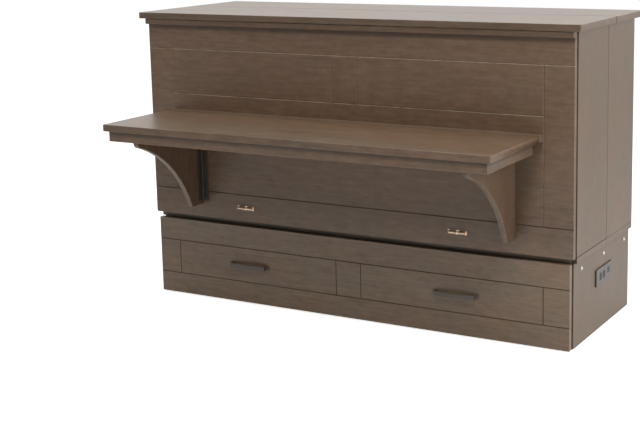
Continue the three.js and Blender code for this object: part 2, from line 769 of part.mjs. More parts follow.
// A pull: one bent strap, flat on its two feet, with a bowed grip.
function pull(body, name, side) {
  const middle = side * (halfWidth - pullInset);
  const end = pullLength / 2;
  const riser = end - pullFoot;
  const strap = pullStrap;
  const outerBow = -fit - pullRise - 2 * pullBow;
  const shape = new THREE.Shape();
  shape.moveTo(middle - end, -fit);
  shape.lineTo(middle - end, -fit - strap);
  shape.lineTo(middle - riser - strap, -fit - strap);
  shape.lineTo(middle - riser - strap, -fit - pullRise);
  shape.quadraticCurveTo(middle, outerBow, middle + riser + strap, -fit - pullRise);
  shape.lineTo(middle + riser + strap, -fit - strap);
  shape.lineTo(middle + end, -fit - strap);
  shape.lineTo(middle + end, -fit);
  shape.lineTo(middle + riser, -fit);
  shape.lineTo(middle + riser, -fit - pullRise + strap);
  shape.quadraticCurveTo(middle, outerBow + strap, middle - riser, -fit - pullRise + strap);
  shape.lineTo(middle - riser, -fit);
  piece(body, name, alongZ(shape, pullHeight - pullWidth / 2, pullHeight + pullWidth / 2), 'bronze');
}

// Assembly: one group for each body that moves as a whole
const cabinetBed = new THREE.Group();
const bodies = {};
for (const name of [
  'cabinet', 'lid', 'leftDoor', 'rightDoor', 'frontPanel',
  'deskLeaf', 'leftBracket', 'rightBracket', 'drawer', 'wheels',
]) {
  bodies[name] = new THREE.Group();
  cabinetBed.add(bodies[name]);
}

upperCabinet(bodies.cabinet);
base(bodies.cabinet);
powerOutlet(bodies.cabinet);
mattress(bodies.cabinet);
lid(bodies.lid);
sideDoor(bodies.leftDoor, 'side_door_left', -1);
sideDoor(bodies.rightDoor, 'side_door_right', 1);
frontPanel(bodies.frontPanel);
deckHinge(bodies.cabinet, bodies.frontPanel);
ledger(bodies.frontPanel);
deskLeaf(bodies.deskLeaf);
deskHinge(bodies.frontPanel, bodies.deskLeaf);
swingBracket(bodies.frontPanel, bodies.leftBracket, 'left', -1);
swingBracket(bodies.frontPanel, bodies.rightBracket, 'right', 1);
ballCatch(bodies.frontPanel, bodies.deskLeaf, 'left', -1);
ballCatch(bodies.frontPanel, bodies.deskLeaf, 'right', 1);
drawer(bodies.drawer);
pull(bodies.drawer, 'pull_left', -1);
pull(bodies.drawer, 'pull_right', 1);
for (const [word, side] of [['left', -1], ['right', 1]]) {
  const [frontWheel, rearWheel] = wheelPlaces();
  drawerWheel(bodies.wheels, `wheel_front_${word}`, side, frontWheel);
  drawerWheel(bodies.wheels, `wheel_rear_${word}`, side, rearWheel);
}

// The origin is the middle of the whole outline on the floor.
cabinetBed.position.y = -(cabinetDepth + topRearOverhang - deskDepth) / 2;

export default cabinetBed;
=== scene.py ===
import math
import bmesh
import bpy
from mathutils import Matrix, Vector


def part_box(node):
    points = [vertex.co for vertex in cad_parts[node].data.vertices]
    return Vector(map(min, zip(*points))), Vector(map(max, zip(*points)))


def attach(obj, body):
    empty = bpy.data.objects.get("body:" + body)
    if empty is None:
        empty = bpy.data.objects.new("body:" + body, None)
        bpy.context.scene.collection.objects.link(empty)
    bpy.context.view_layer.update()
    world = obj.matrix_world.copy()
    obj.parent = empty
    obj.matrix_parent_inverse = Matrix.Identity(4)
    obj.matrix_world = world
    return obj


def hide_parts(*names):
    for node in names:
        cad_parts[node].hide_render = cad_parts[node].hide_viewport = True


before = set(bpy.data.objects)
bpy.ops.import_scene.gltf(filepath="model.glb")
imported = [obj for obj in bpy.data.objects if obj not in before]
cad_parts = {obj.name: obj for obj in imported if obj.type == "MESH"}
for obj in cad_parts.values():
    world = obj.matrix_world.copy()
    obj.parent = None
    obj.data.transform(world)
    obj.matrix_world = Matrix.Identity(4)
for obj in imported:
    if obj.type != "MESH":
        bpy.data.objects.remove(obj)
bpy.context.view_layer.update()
scene = bpy.context.scene

# Camera: stands to the right of the cabinet and a little above its top, turned to the left. Its place
# and turn were solved from corners of the cabinet in the picture.
view_turn = 0.503494
view_dip = 0.169972
view_roll = -0.016716
view_focus = 1307.2
picture_width = 640
level = Vector((math.cos(view_turn), math.sin(view_turn), 0))
ahead = Vector((-math.sin(view_turn), math.cos(view_turn), 0)) * math.cos(view_dip)
ahead.z = -math.sin(view_dip)
over = level.cross(ahead)
right = level * math.cos(view_roll) + over * math.sin(view_roll)
up = over * math.cos(view_roll) - level * math.sin(view_roll)
camera = bpy.data.objects.new("camera", bpy.data.cameras.new("camera"))
camera.matrix_world = Matrix((right, up, -ahead)).transposed().to_4x4()
camera.location = (2.31604, -4.00706, 1.45042)
camera.data.sensor_width = 36
camera.data.lens = camera.data.sensor_width * view_focus / picture_width
camera.data.shift_x = -0.102
camera.data.shift_y = -0.12
camera.data.clip_end = 60
scene.collection.objects.link(camera)
scene.camera = camera
scene.view_settings.view_transform = "Standard"

# Studio: a white room, with a broad soft lamp overhead, a smaller one high before the cabinet and a
# little to its right, and a third at its right end. The white floor keeps the soft shadow.
def add(tree, kind, sources=(), **settings):
    made = tree.nodes.new(kind)
    for key, value in settings.items():
        setattr(made, key, value)
    for key, value in dict(sources).items():
        if isinstance(value, bpy.types.NodeSocket):
            tree.links.new(value, made.inputs[key])
        else:
            made.inputs[key].default_value = value
    return made


def maths(tree, operation, a, b):
    return add(tree, "ShaderNodeMath", {0: a, 1: b}, operation=operation).outputs[0]


def mixed(tree, share, first, second, **settings):
    """A colour between two others, by a share of the second."""
    return add(tree, "ShaderNodeMix", {"Factor": share, 6: first, 7: second}, data_type="RGBA",
               **settings).outputs[2]


def spread(tree, value, from_min, from_max, to_min=0.0, to_max=1.0):
    """Maps a value from one range to another and holds it within the second."""
    return add(tree, "ShaderNodeMapRange", {
        "Value": value, "From Min": from_min, "From Max": from_max, "To Min": to_min,
        "To Max": to_max}).outputs[0]


def new_material(name):
    made = bpy.data.materials.new(name)
    made.use_nodes = True
    made.node_tree.nodes.clear()
    return made


def lamp(name, place, aim, size, power, colour):
    data = bpy.data.lights.new(name, "AREA")
    data.shape = "RECTANGLE"
    data.size, data.size_y = size
    data.energy = power
    data.color = colour
    made = bpy.data.objects.new(name, data)
    made.location = place
    made.rotation_euler = (Vector(aim) - Vector(place)).to_track_quat("-Z", "Y").to_euler()
    scene.collection.objects.link(made)


def placed(name, mesh):
    """Turns a finished mesh into an object of the scene."""
    data = bpy.data.meshes.new(name)
    mesh.to_mesh(data)
    mesh.free()
    made = bpy.data.objects.new(name, data)
    scene.collection.objects.link(made)
    return made


lamp("overhead", (-0.3, -0.7, 4.2), (0, -0.3, 0.8), (4.6, 2.2), 54, (1.0, 0.985, 0.96))
lamp("key_lamp", (1.4, -2.7, 3.7), (0.2, -0.2, 0.5), (1.1, 0.8), 66, (1.0, 0.98, 0.95))
lamp("side_lamp", (4.4, -0.3, 1.9), (0.8, 0.2, 0.6), (2.2, 2.6), 68, (0.96, 0.985, 1.0))

world = bpy.data.worlds.new("studio")
scene.world = world
world.use_nodes = True
sky = world.node_tree
sky.nodes.clear()
rays = add(sky, "ShaderNodeLightPath").outputs
heading = add(sky, "ShaderNodeTexCoord").outputs["Generated"]
to_the_back = add(sky, "ShaderNodeSeparateXYZ", {0: heading}).outputs["Y"]
behind = spread(sky, to_the_back, -0.9, 0.35, 0.105, 1.16)
room_white = (1, 0.995, 0.985, 1)
room = add(sky, "ShaderNodeBackground", {"Color": room_white, "Strength": behind})
soft = add(sky, "ShaderNodeBackground", {
    "Color": room_white, "Strength": maths(sky, "MULTIPLY", behind, 0.58)})
backdrop = add(sky, "ShaderNodeBackground", {"Color": (1, 1, 1, 1), "Strength": 1.0})
around = add(sky, "ShaderNodeMixShader", {
    0: rays["Is Glossy Ray"], 1: soft.outputs[0], 2: room.outputs[0]})
clear_view = maths(sky, "MAXIMUM", rays["Is Camera Ray"], rays["Is Transmission Ray"])
seen = add(sky, "ShaderNodeMixShader", {0: clear_view, 1: around.outputs[0], 2: backdrop.outputs[0]})
add(sky, "ShaderNodeOutputWorld", {0: seen.outputs[0]})

paint = new_material("floor_paint")
coating = paint.node_tree
speckle = add(coating, "ShaderNodeTexNoise", {"Scale": 3.0}).outputs[0]
tint = mixed(coating, speckle, (0.93, 0.93, 0.93, 1), (0.97, 0.97, 0.97, 1))
coat = add(coating, "ShaderNodeBsdfDiffuse", {"Color": tint})
glance = add(coating, "ShaderNodeLightPath").outputs["Is Camera Ray"]
glow = add(coating, "ShaderNodeEmission", {
    "Color": (1, 1, 1, 1), "Strength": maths(coating, "MULTIPLY", glance, 0.68)})
lit = add(coating, "ShaderNodeAddShader", {0: coat.outputs[0], 1: glow.outputs[0]})
add(coating, "ShaderNodeOutputMaterial", {0: lit.outputs[0]})
disc = bmesh.new()
bmesh.ops.create_circle(disc, cap_ends=True, segments=96, radius=14)
floor = placed("floor", disc)
floor.location.z = -0.0005
floor.data.materials.append(paint)

# Base: the side panels that stand on the floor, of veneered board in a grey-brown stain under satin
# lacquer, eased along every edge; a plywood back; and the rails and beam that carry the deck.
def group(name, *inputs):
    """A shared effect, which takes the lay of the grain, marks and colours."""
    tree = bpy.data.node_groups.new(name, "ShaderNodeTree")
    for word in inputs:
        kind = "Vector" if word == "Lay" else "Color" if word in ("Body", "Rubbed") else "Float"
        tree.interface.new_socket(word, in_out="INPUT", socket_type="NodeSocket" + kind)
    return tree, add(tree, "NodeGroupInput").outputs


def results(tree, colour, roughness, height):
    """Ends a shared effect with what it gives."""
    given_out = {"Colour": colour, "Roughness": roughness, "Height": height}
    for word in given_out:
        kind = "Color" if word == "Colour" else "Float"
        tree.interface.new_socket(word, in_out="OUTPUT", socket_type="NodeSocket" + kind)
    add(tree, "NodeGroupOutput", given_out)


def stretched(tree, lay, along, across, through=None, **settings):
    """Noise drawn out along the grain."""
    scaled = add(tree, "ShaderNodeVectorMath", {
        0: lay, 1: (along, across, through or across)}, operation="MULTIPLY").outputs[0]
    return add(tree, "ShaderNodeTexNoise", {"Vector": scaled, "Scale": 1.0, **settings}).outputs[0]


def weighed(tree, total, *pairs):
    """Adds to a total each value times its weight."""
    for value, weight in pairs:
        total = maths(tree, "ADD", maths(tree, "MULTIPLY", value, weight), total)
    return total


def ramp(tree, value, stops):
    made = add(tree, "ShaderNodeValToRGB", {0: value})
    while len(made.color_ramp.elements) < len(stops):
        made.color_ramp.elements.new(0.5)
    for element, (place, colour) in zip(made.color_ramp.elements, stops):
        element.position = place
        element.color = (*colour, 1)
    return made.outputs[0]


wood, given = group("lacquered_grain", "Lay", "Wear_and_highlight", "Joint_and_shade", "Tone", "Warm", "Plain")
lay = given["Lay"]
streaks = stretched(wood, lay, 7, 110, Detail=5.0, Roughness=0.6)
bands = stretched(wood, lay, 1.6, 9, Detail=2.0, Distortion=0.8)
blotch = stretched(wood, lay, 20, 52, Detail=5.0, Roughness=0.7)
clouds = stretched(wood, lay, 5, 9, Detail=3.0, Distortion=0.5)
pores = stretched(wood, lay, 45, 900, Detail=2.0)
tone = weighed(wood, 0, (bands, 0.18), (blotch, 0.46), (streaks, 0.36))
tone = add(wood, "ShaderNodeMix", {0: given["Plain"], 2: tone, 3: 0.5}).outputs[0]
stain = ramp(wood, maths(wood, "ADD", tone, given["Tone"]), [
    (0.26, (0.087, 0.055, 0.034)), (0.46, (0.139, 0.093, 0.060)),
    (0.56, (0.169, 0.117, 0.077)), (0.74, (0.229, 0.166, 0.114))])
coolness = maths(wood, "SUBTRACT", spread(wood, clouds, 0.3, 0.7), given["Warm"])
cast = mixed(wood, coolness, (1.08, 0.98, 0.92, 1), (0.96, 1.015, 1.03, 1))
tinted = mixed(wood, 1.0, stain, cast, blend_type="MULTIPLY")
# Lightens the eased edges: wear on the edges, and a painted highlight where they would catch the light.
edge_wear_and_highlight = maths(wood, "MULTIPLY", given["Wear_and_highlight"], spread(wood, blotch, 0.35, 0.65, 0.10, 0.42))
edged = mixed(wood, edge_wear_and_highlight, tinted, (0.44, 0.345, 0.262, 1))
# Darkens towards joints as gathered stain, and under overhangs and in routed lines as painted shade.
joint_and_shade_darkening = maths(wood, "MULTIPLY", given["Joint_and_shade"], 0.55)
results(wood, mixed(wood, joint_and_shade_darkening, edged, (0.040, 0.027, 0.019, 1)),
        spread(wood, streaks, 0.3, 0.7, 0.34, 0.46), weighed(wood, 0, (streaks, 0.7), (pores, 0.3)))


def finish_from(name, effect, bump, shader=(), slot=None, **values):
    """A finish from a shared effect. An input without a value is read from the mesh's own layer of that
    name. The slot argument is not used."""
    made = new_material(name)
    tree = made.node_tree
    shared = add(tree, "ShaderNodeGroup", values, node_tree=effect)
    for socket in shared.inputs:
        if socket.name not in values:
            source = add(tree, "ShaderNodeAttribute", attribute_name=socket.name.lower())
            tree.links.new(source.outputs["Vector" if socket.name == "Lay" else "Fac"], socket)
    relief = add(tree, "ShaderNodeBump", {
        "Strength": bump[0], "Distance": bump[1], "Height": shared.outputs["Height"]})
    surface = add(tree, "ShaderNodeBsdfPrincipled", {
        "Base Color": shared.outputs["Colour"], "Roughness": shared.outputs["Roughness"],
        "Normal": relief.outputs[0], **dict(shader)})
    add(tree, "ShaderNodeOutputMaterial", {0: surface.outputs[0]})
    return made


stained_wood = finish_from("stained_wood", wood, (0.35, 0.0006), {
    "Coat Weight": 0.18, "Coat Roughness": 0.28, "Specular IOR Level": 0.5})

ply, given = group("veneer_layers", "Lay", "Wear_and_highlight")
streaks = stretched(ply, given["Lay"], 5, 120, Detail=4.0)
bands = stretched(ply, given["Lay"], 1.3, 14, 2, Detail=3.0, Distortion=1.2)
depth = add(ply, "ShaderNodeSeparateXYZ", {0: given["Lay"]}).outputs["Z"]
ply_thickness = 0.0015
dark_layer = maths(ply, "GREATER_THAN", maths(ply, "PINGPONG", depth, ply_thickness), ply_thickness / 2)
pale = ramp(ply, weighed(ply, 0, (bands, 0.6), (streaks, 0.4)), [
    (0.30, (0.44, 0.31, 0.19)), (0.50, (0.58, 0.44, 0.29)), (0.70, (0.68, 0.55, 0.39))])
layered = mixed(ply, maths(ply, "MULTIPLY", dark_layer, 0.55), pale, (0.30, 0.20, 0.12, 1))
scuffed_and_highlighted = mixed(ply, maths(ply, "MULTIPLY", given["Wear_and_highlight"], 0.35), layered, (0.36, 0.27, 0.18, 1))
results(ply, scuffed_and_highlighted, spread(ply, streaks, 0.3, 0.7, 0.5, 0.66), streaks)
plywood = finish_from("plywood", ply, (0.3, 0.0005))

piece_count = 0
axes = {"x": 0, "y": 1, "z": 2}
sides = {"left": -1, "right": 1}


def block(low, high):
    made = bmesh.new()
    bmesh.ops.create_cube(made, size=1.0)
    for vert in made.verts:
        vert.co = [low[i] if vert.co[i] < 0 else high[i] for i in range(3)]
    return made


def layer_of(mesh, word):
    return mesh.verts.layers.float.get(word) or mesh.verts.layers.float.new(word)


def ease(mesh, width, segments=2, picked=None, sharp=0.5, rubbed=1.0):
    """Rounds the sharp edges, or the picked ones, and marks the middle of each with wear and a painted
    highlight.
    """
    wear_and_highlight_layer = layer_of(mesh, "wear_and_highlight")
    edges = picked if picked is not None else [
        e for e in mesh.edges if e.is_manifold and e.calc_face_angle() > sharp]
    made = bmesh.ops.bevel(mesh, geom=edges, offset=width, offset_type="OFFSET", segments=segments,
                           profile=0.5, affect="EDGES", material=-1, clamp_overlap=True)
    fresh = set(made["faces"])
    for vert in made["verts"]:
        if all(face in fresh for face in vert.link_faces):
            vert[wear_and_highlight_layer] = rubbed
    return mesh


def mark(mesh, word, rule):
    """Writes a mark at every point, one value for all or what a rule makes of the place."""
    layer = layer_of(mesh, word)
    for vert in mesh.verts:
        vert[layer] = rule(vert.co) if callable(rule) else rule


def show(name, mesh, finish, body, grain, *nodes, weight=90, **marks):
    """Writes a mesh as a piece whose grain runs along one axis and differs from its neighbours'."""
    global piece_count
    piece_count += 1
    bmesh.ops.recalc_face_normals(mesh, faces=mesh.faces[:])
    lows = [min(v.co[i] for v in mesh.verts) for i in range(3)]
    spans = [max(v.co[i] for v in mesh.verts) - lows[i] for i in range(3)]
    along = axes[grain]
    others = sorted((i for i in range(3) if i != along), key=lambda i: -spans[i])
    lay_layer = mesh.verts.layers.float_vector.new("lay")
    for vert in mesh.verts:
        local = [vert.co[i] - lows[i] for i in (along, *others)]
        vert[lay_layer] = (local[0] + piece_count * 0.731 % 7, local[1] + piece_count * 1.317 % 5, local[2])
    for word, rule in marks.items():
        mark(mesh, word, rule)
    for face in mesh.faces:
        face.smooth = True
    made = placed(name, mesh)
    made.data.materials.append(finish)
    if weight:
        even = made.modifiers.new("even_faces", "WEIGHTED_NORMAL")
        even.weight = weight
        even.keep_sharp = True
    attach(made, body)
    if nodes:
        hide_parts(*nodes)
    return made


def sliced(mesh, axis, level):
    """Cuts new edges through a mesh at a level, and keeps both sides."""
    normal, place = [0, 0, 0], [0, 0, 0]
    normal[axes[axis]] = 1
    place[axes[axis]] = level
    bmesh.ops.bisect_plane(mesh, geom=mesh.verts[:] + mesh.edges[:] + mesh.faces[:], plane_co=place,
                           plane_no=normal, dist=1e-6)


def darken_towards(mesh, axis, level, reach=0.003, amount=2.0):
    """Darkens towards a level, from nothing at a reach away to an amount at the level. At a joint this is
    gathered stain, and under an overhang it is painted shade.
    """
    joint_and_shade_layer = layer_of(mesh, "joint_and_shade")
    for step in (-reach, 0, reach):
        sliced(mesh, axis, level + step)
    for vert in mesh.verts:
        share = 1 - abs(vert.co[axes[axis]] - level) / reach
        vert[joint_and_shade_layer] = max(vert[joint_and_shade_layer], amount * share)
    return mesh


def board(node, mesh, body, grain, finish=stained_wood, **marks):
    return show(node + "_board", mesh, finish, body, grain, node, **marks)


def plank(node, body, grain, width, finish=stained_wood, **marks):
    return board(node, ease(block(*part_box(node)), width), body, grain, finish, **marks)


def drawn_out(points, axis, start, stop):
    """A closed outline, given in the two axes that follow the named one, drawn out along it."""
    first = axes[axis]
    second, third = [i for i in range(3) if i != first]
    made = bmesh.new()
    ring = []
    for a, b in points:
        place = [0, 0, 0]
        place[first], place[second], place[third] = start, a, b
        ring.append(made.verts.new(place))
    grown = bmesh.ops.extrude_face_region(made, geom=[made.faces.new(ring)])
    for item in grown["geom"]:
        if isinstance(item, bmesh.types.BMVert):
            item.co[first] = stop
    bmesh.ops.recalc_face_normals(made, faces=made.faces[:])
    return made


def loft(mesh, rings, caps=0):
    """Joins rings of as many points each into one skin. One cap closes the last ring, two close both."""
    made = [[mesh.verts.new(point) for point in ring] for ring in rings]
    count = len(made[0])
    for near, far in zip(made, made[1:]):
        for i in range(count):
            mesh.faces.new((near[i], near[(i + 1) % count], far[(i + 1) % count], far[i]))
    if caps > 1:
        mesh.faces.new(made[0][::-1])
    if caps:
        mesh.faces.new(made[-1])
    return mesh


def facing(place, normal):
    """Turns a local shape, whose Z is its own axis, to a place and a direction."""
    turn = Vector((0, 0, 1)).rotation_difference(Vector(normal)).to_matrix().to_4x4()
    return Matrix.Translation(place) @ turn


def arc(x, y, radius, angles):
    return [(x + radius * math.cos(angle), y + radius * math.sin(angle)) for angle in angles]


def turned(mesh, profile, matrix, segments, caps=0):
    """A turned shape from (radius, height) pairs about the local Z."""
    angles = [2 * math.pi * i / segments for i in range(segments)]
    return loft(mesh, [[matrix @ Vector((*point, height)) for point in arc(0, 0, radius, angles)]
                       for radius, height in profile], caps)


def screw(mesh, place, normal, radius):
    """A countersunk screw head, a little crowned, with a cross recess."""
    arm, width = radius * 0.62, radius * 0.16
    cross = []
    for i in range(4):
        spin = Matrix.Rotation(math.pi / 2 * i + 0.3, 2)
        cross += [spin @ Vector(point) for point in ((arm, -width), (arm, width), (width, width))]
    matrix = facing(place, normal)
    outer = [point.normalized() * radius for point in cross]
    rings = [[(p.x, p.y, -0.0004) for p in outer], [(p.x, p.y, 0.0001) for p in outer],
             [(p.x * 0.82, p.y * 0.82, 0.0003) for p in outer], [(p.x, p.y, 0.00035) for p in cross],
             [(p.x * 0.9, p.y * 0.9, -0.0008) for p in cross]]
    return loft(mesh, [[matrix @ Vector(point) for point in ring] for ring in rings], 1)


metal, given = group("worked_metal", "Lay", "Wear_and_highlight", "Body", "Rubbed", "Dull")
brushing = stretched(metal, given["Lay"], 30, 1400, Detail=3.0)
tarnish = stretched(metal, given["Lay"], 60, 75, Detail=4.0, Roughness=0.6)
aged = mixed(metal, spread(metal, tarnish, 0.45, 0.75, 0.0, 0.35), given["Body"], (0.10, 0.085, 0.07, 1))
bright = mixed(metal, maths(metal, "MULTIPLY", given["Wear_and_highlight"], 0.8), aged, given["Rubbed"])
uneven = maths(metal, "MULTIPLY", maths(metal, "ADD", tarnish, brushing), 0.22)
results(metal, bright, maths(metal, "ADD", given["Dull"], uneven), brushing)
steel = finish_from("steel", metal, (0.15, 0.0002), {"Metallic": 1.0},
                    Body=(0.78, 0.77, 0.74, 1), Rubbed=(0.90, 0.89, 0.86, 1), Dull=0.14)

# The right side of the base has a window for the outlet, and each side has three domed bolts with a
# six-sided socket through it into its rail.
overlap_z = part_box("upper_side_right")[0].z
window_low, window_high = (0.1495, 0.160), (0.3055, 0.218)
for word in sides:
    wall = block(*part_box("base_side_" + word))
    if word == "right":
        for y, z in (window_low, window_high):
            sliced(wall, "y", y)
            sliced(wall, "z", z)
        covered = [f for f in wall.faces if abs(f.normal.x) > 0.9
                   and window_low[0] < f.calc_center_median().y < window_high[0]
                   and window_low[1] < f.calc_center_median().z < window_high[1]]
        bmesh.ops.delete(wall, geom=covered, context="FACES_ONLY")
        bmesh.ops.bridge_loops(wall, edges=[e for e in wall.edges if len(e.link_faces) == 1])
        bmesh.ops.dissolve_limit(wall, angle_limit=0.01, verts=wall.verts[:], edges=wall.edges[:])
        bmesh.ops.recalc_face_normals(wall, faces=wall.faces[:])
    # Each base side darkens towards its top, below the upper side's overhang: painted shade.
    darken_towards(ease(wall, 0.0012), "z", overlap_z, 0.014, 1.1)
    board("base_side_" + word, wall, "cabinet", "z", plain=0.3)
plank("base_back", "cabinet", "x", 0.0006, plywood)
for node, grain in (("deck_rail_left", "y"), ("deck_rail_right", "y"), ("deck_beam", "x"),
                    ("drawer_guide_left", "y"), ("drawer_guide_right", "y")):
    plank(node, "cabinet", grain, 0.0015)

bolt_seat = 0.8433
bolt_profile = [(0.004, -0.0358), (0.004, 0), (0.007, 0), (0.007, 0.0005), (0.0062, 0.0021),
                (0.0050, 0.0029), (0.0038, 0.0033)]
hexagon_profile = [(0.0030, 0.0034), (0.0028, 0.0015)]
hexagon_flat = 0.866
for word, side in sides.items():
    for number in (1, 2, 3):
        node = "side_bolt_" + word + "_" + str(number)
        low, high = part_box(node)
        matrix = facing((side * bolt_seat, (low.y + high.y) / 2, (low.z + high.z) / 2), (side, 0, 0))
        rings = []
        for radius, height in bolt_profile + hexagon_profile:
            ring = []
            for i in range(24):
                angle = math.pi / 12 * i
                wedge = (angle + math.pi / 6) % (math.pi / 3) - math.pi / 6
                hexagon = radius * hexagon_flat / math.cos(wedge)
                reach = radius if (radius, height) in bolt_profile else hexagon
                ring.append(matrix @ Vector((reach * math.cos(angle), reach * math.sin(angle), height)))
            rings.append(ring)
        bolt = loft(bmesh.new(), rings, 2)
        show(node + "_domed", bolt, steel, "cabinet", "x", node, weight=50)

# Power outlet: a closed box in the window, with a black rim that stands before the side and carries a
# grey plate with two receptacles and a block of two charging ports.
plastic, given = group("moulded_plastic", "Lay", "Wear_and_highlight", "Body", "Rubbed")
spark = stretched(plastic, given["Lay"], 900, 900, Detail=1.0)
drift = stretched(plastic, given["Lay"], 25, 25, Detail=2.0)
shaded = mixed(plastic, maths(plastic, "MULTIPLY", drift, 0.25), given["Body"], given["Rubbed"])
scuffed_and_highlighted = mixed(plastic, maths(plastic, "MULTIPLY", given["Wear_and_highlight"], 0.6), shaded, given["Rubbed"])
results(plastic, scuffed_and_highlighted, weighed(plastic, 0.34, (drift, 0.2)), spark)
plate_plastic = finish_from("plate_plastic", plastic, (0.12, 0.0002), slot="outlet_plastic",
                            Body=(0.150, 0.138, 0.130, 1), Rubbed=(0.23, 0.215, 0.20, 1))
black_plastic = finish_from("black_plastic", plastic, (0.12, 0.0002), slot="outlet_plastic",
                            Body=(0.018, 0.017, 0.017, 1), Rubbed=(0.06, 0.058, 0.056, 1))


def rounded(half_width, half_height, radius, steps=4):
    """A rounded rectangle about zero."""
    points = []
    for i, (sx, sy) in enumerate(((1, 1), (-1, 1), (-1, -1), (1, -1))):
        points += arc(sx * (half_width - radius), sy * (half_height - radius), radius,
                      [math.pi / 2 * (i + j / steps) for j in range(steps + 1)])
    return points


def inset_face(mesh, proud, centre, half, radius, levels):
    """Rings of a rounded rectangle before the outlet's face, each given as (shrink, depth)."""
    rings = []
    for shrink, depth_in in levels:
        points = rounded(half[0] - shrink, half[1] - shrink, max(radius - shrink, 0.0004))
        rings.append([(face_x + proud + depth_in, centre[0] + a, centre[1] + b) for a, b in points])
    loft(mesh, rings, 1)


low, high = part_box("power_outlet")
wall_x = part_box("base_side_right")[1].x
face_x = wall_x + 0.0052
middle_z = 0.189
box_front = 0.8236
housing = ease(block(low, Vector((box_front, high.y, high.z))), 0.002, 3)
show("outlet_box", housing, plate_plastic, "cabinet", "y", "power_outlet")
neck = ease(block((box_front + 0.0002, 0.1500, 0.1605), (wall_x + 0.0002, 0.3050, 0.2175)), 0.001)
show("outlet_neck", neck, black_plastic, "cabinet", "y")
rim = ease(block((wall_x + 0.0003, 0.1484, 0.1588), (wall_x + 0.0043, 0.3066, 0.2192)), 0.0008, 3)
show("outlet_rim", rim, black_plastic, "cabinet", "y")
plate = ease(block((wall_x + 0.0044, 0.1488, 0.1592), (face_x, 0.3062, 0.2188)), 0.0003)
receptacles = (0.1890, 0.2225)
charger_y, charger_z = 0.2690, middle_z + 0.006
lip = ((0, 0), (0.0006, 0.0004), (0.0012, 0.0004))
for y in receptacles:
    inset_face(plate, 0.0001, (y, middle_z), (0.0122, 0.0156), 0.005, lip)
inset_face(plate, 0.0001, (charger_y, charger_z), (0.0112, 0.0122), 0.003, lip)
for y in (0.1560, 0.2990):
    screw(plate, (face_x, y, middle_z), (1, 0, 0), 0.0026)
show("outlet_plate", plate, plate_plastic, "cabinet", "y")
sockets = bmesh.new()
for y in receptacles:
    inset_face(sockets, 0.0005, (y, middle_z), (0.0108, 0.0142), 0.005,
               ((0, 0), (0.0008, 0.0003), (0.0014, 0.0002)))
    for shift, half_height in ((-0.0050, 0.0038), (0.0050, 0.0046)):
        inset_face(sockets, 0.0009, (y + shift, middle_z + 0.004), (0.0011, half_height), 0.0004,
                   ((0, 0), (0.0003, -0.0022)))
    turned(sockets, [(0.0026, 0.0001), (0.0020, -0.002)],
           facing((face_x + 0.0009, y, middle_z - 0.0076), (1, 0, 0)), 12, 1)
inset_face(sockets, 0.0005, (charger_y, charger_z), (0.0098, 0.0108), 0.002,
           ((0, 0), (0.0006, 0.0003), (0.0010, 0.0002)))
show("outlet_sockets", sockets, black_plastic, "cabinet", "z")
tongues = bmesh.new()
for z in (charger_z - 0.0052, charger_z + 0.0052):
    inset_face(tongues, 0.0008, (charger_y, z), (0.0066, 0.0026), 0.0004,
               ((0, 0.0003), (0.0005, 0.0003), (0.0006, -0.001)))
    inset_face(tongues, 0.0002, (charger_y, z + 0.0008), (0.0052, 0.0008), 0.0003,
               ((0, -0.0002), (0.0002, 0.0004)))
show("outlet_ports", tongues, plate_plastic, "cabinet", "y")

# Upper cabinet: rear side panels with the strip below each door, a plywood back, the plywood deck that
# the bed lies on, and the fixed rear half of the top.
seam_y = 0.2269
strip_z = 0.3165
for word in sides:
    low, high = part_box("upper_side_" + word)
    outline = [(low.y, low.z), (high.y, low.z), (high.y, high.z), (seam_y, high.z), (seam_y, strip_z),
               (low.y, strip_z)]
    panel = ease(drawn_out(outline, "x", low.x, high.x), 0.001)
    darken_towards(panel, "z", strip_z)
    darken_towards(panel, "y", seam_y)
    darken_towards(panel, "y", low.y, 0.0025, 1.3)
    board("upper_side_" + word, panel, "cabinet", "z", tone=0.03, plain=0.45)
plank("upper_back", "cabinet", "x", 0.0006, plywood)
deck = plank("sleeping_deck", "cabinet", "x", 0.0006, plywood)
# The deck's front and end edges get a dark sealed edge, which is also painted shade for the slot below the
# front panel.
dark_edge, given = group("sealed_and_shaded_edge", "Lay", "Wear_and_highlight")
figure = stretched(dark_edge, given["Lay"], 6, 220, Detail=3.0)
results(dark_edge, ramp(dark_edge, figure, [(0.35, (0.125, 0.098, 0.072)), (0.7, (0.215, 0.170, 0.130))]),
        weighed(dark_edge, 0.35, (figure, 0.3)), figure)
deck.data.materials.append(finish_from("sealed_and_shaded_edge", dark_edge, (0.3, 0.0003)))
low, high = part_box("sleeping_deck")
for polygon in deck.data.polygons:
    if polygon.center.y < low.y + 0.0008 or abs(polygon.center.x) > high.x - 0.0008:
        polygon.material_index = 1
low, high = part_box("top_rear")
board("top_rear", darken_towards(ease(block(low, high), 0.002), "y", low.y, 0.005), "cabinet", "x")

# Doors and lid: one veneered board each, stained like the rest and eased along the edges, and hung on
# concealed link hinges that don't show. The stain gathers at their seams.
for word in sides:
    low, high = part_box("side_door_" + word)
    door = ease(block(low, high), 0.001)
    darken_towards(door, "z", low.z)
    darken_towards(door, "z", high.z)
    darken_towards(door, "y", high.y)
    board("side_door_" + word, door, "door_" + word, "z", plain=0.45)
low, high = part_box("lid")
board("lid", darken_towards(ease(block(low, high), 0.002), "y", high.y, 0.005), "lid", "x",
      tone=lambda place: -0.1 if place.y < low.y + 0.001 else 0.0)

# Front panel: one veneered sheet with routed lines that draw a frame and three panels, and the rail
# along its top edge. Its back is notched at the top for the hinge of the foot panel.
groove_width = 0.003
groove_depth = 0.002
notch_y = -0.079
notch_depth = 0.009


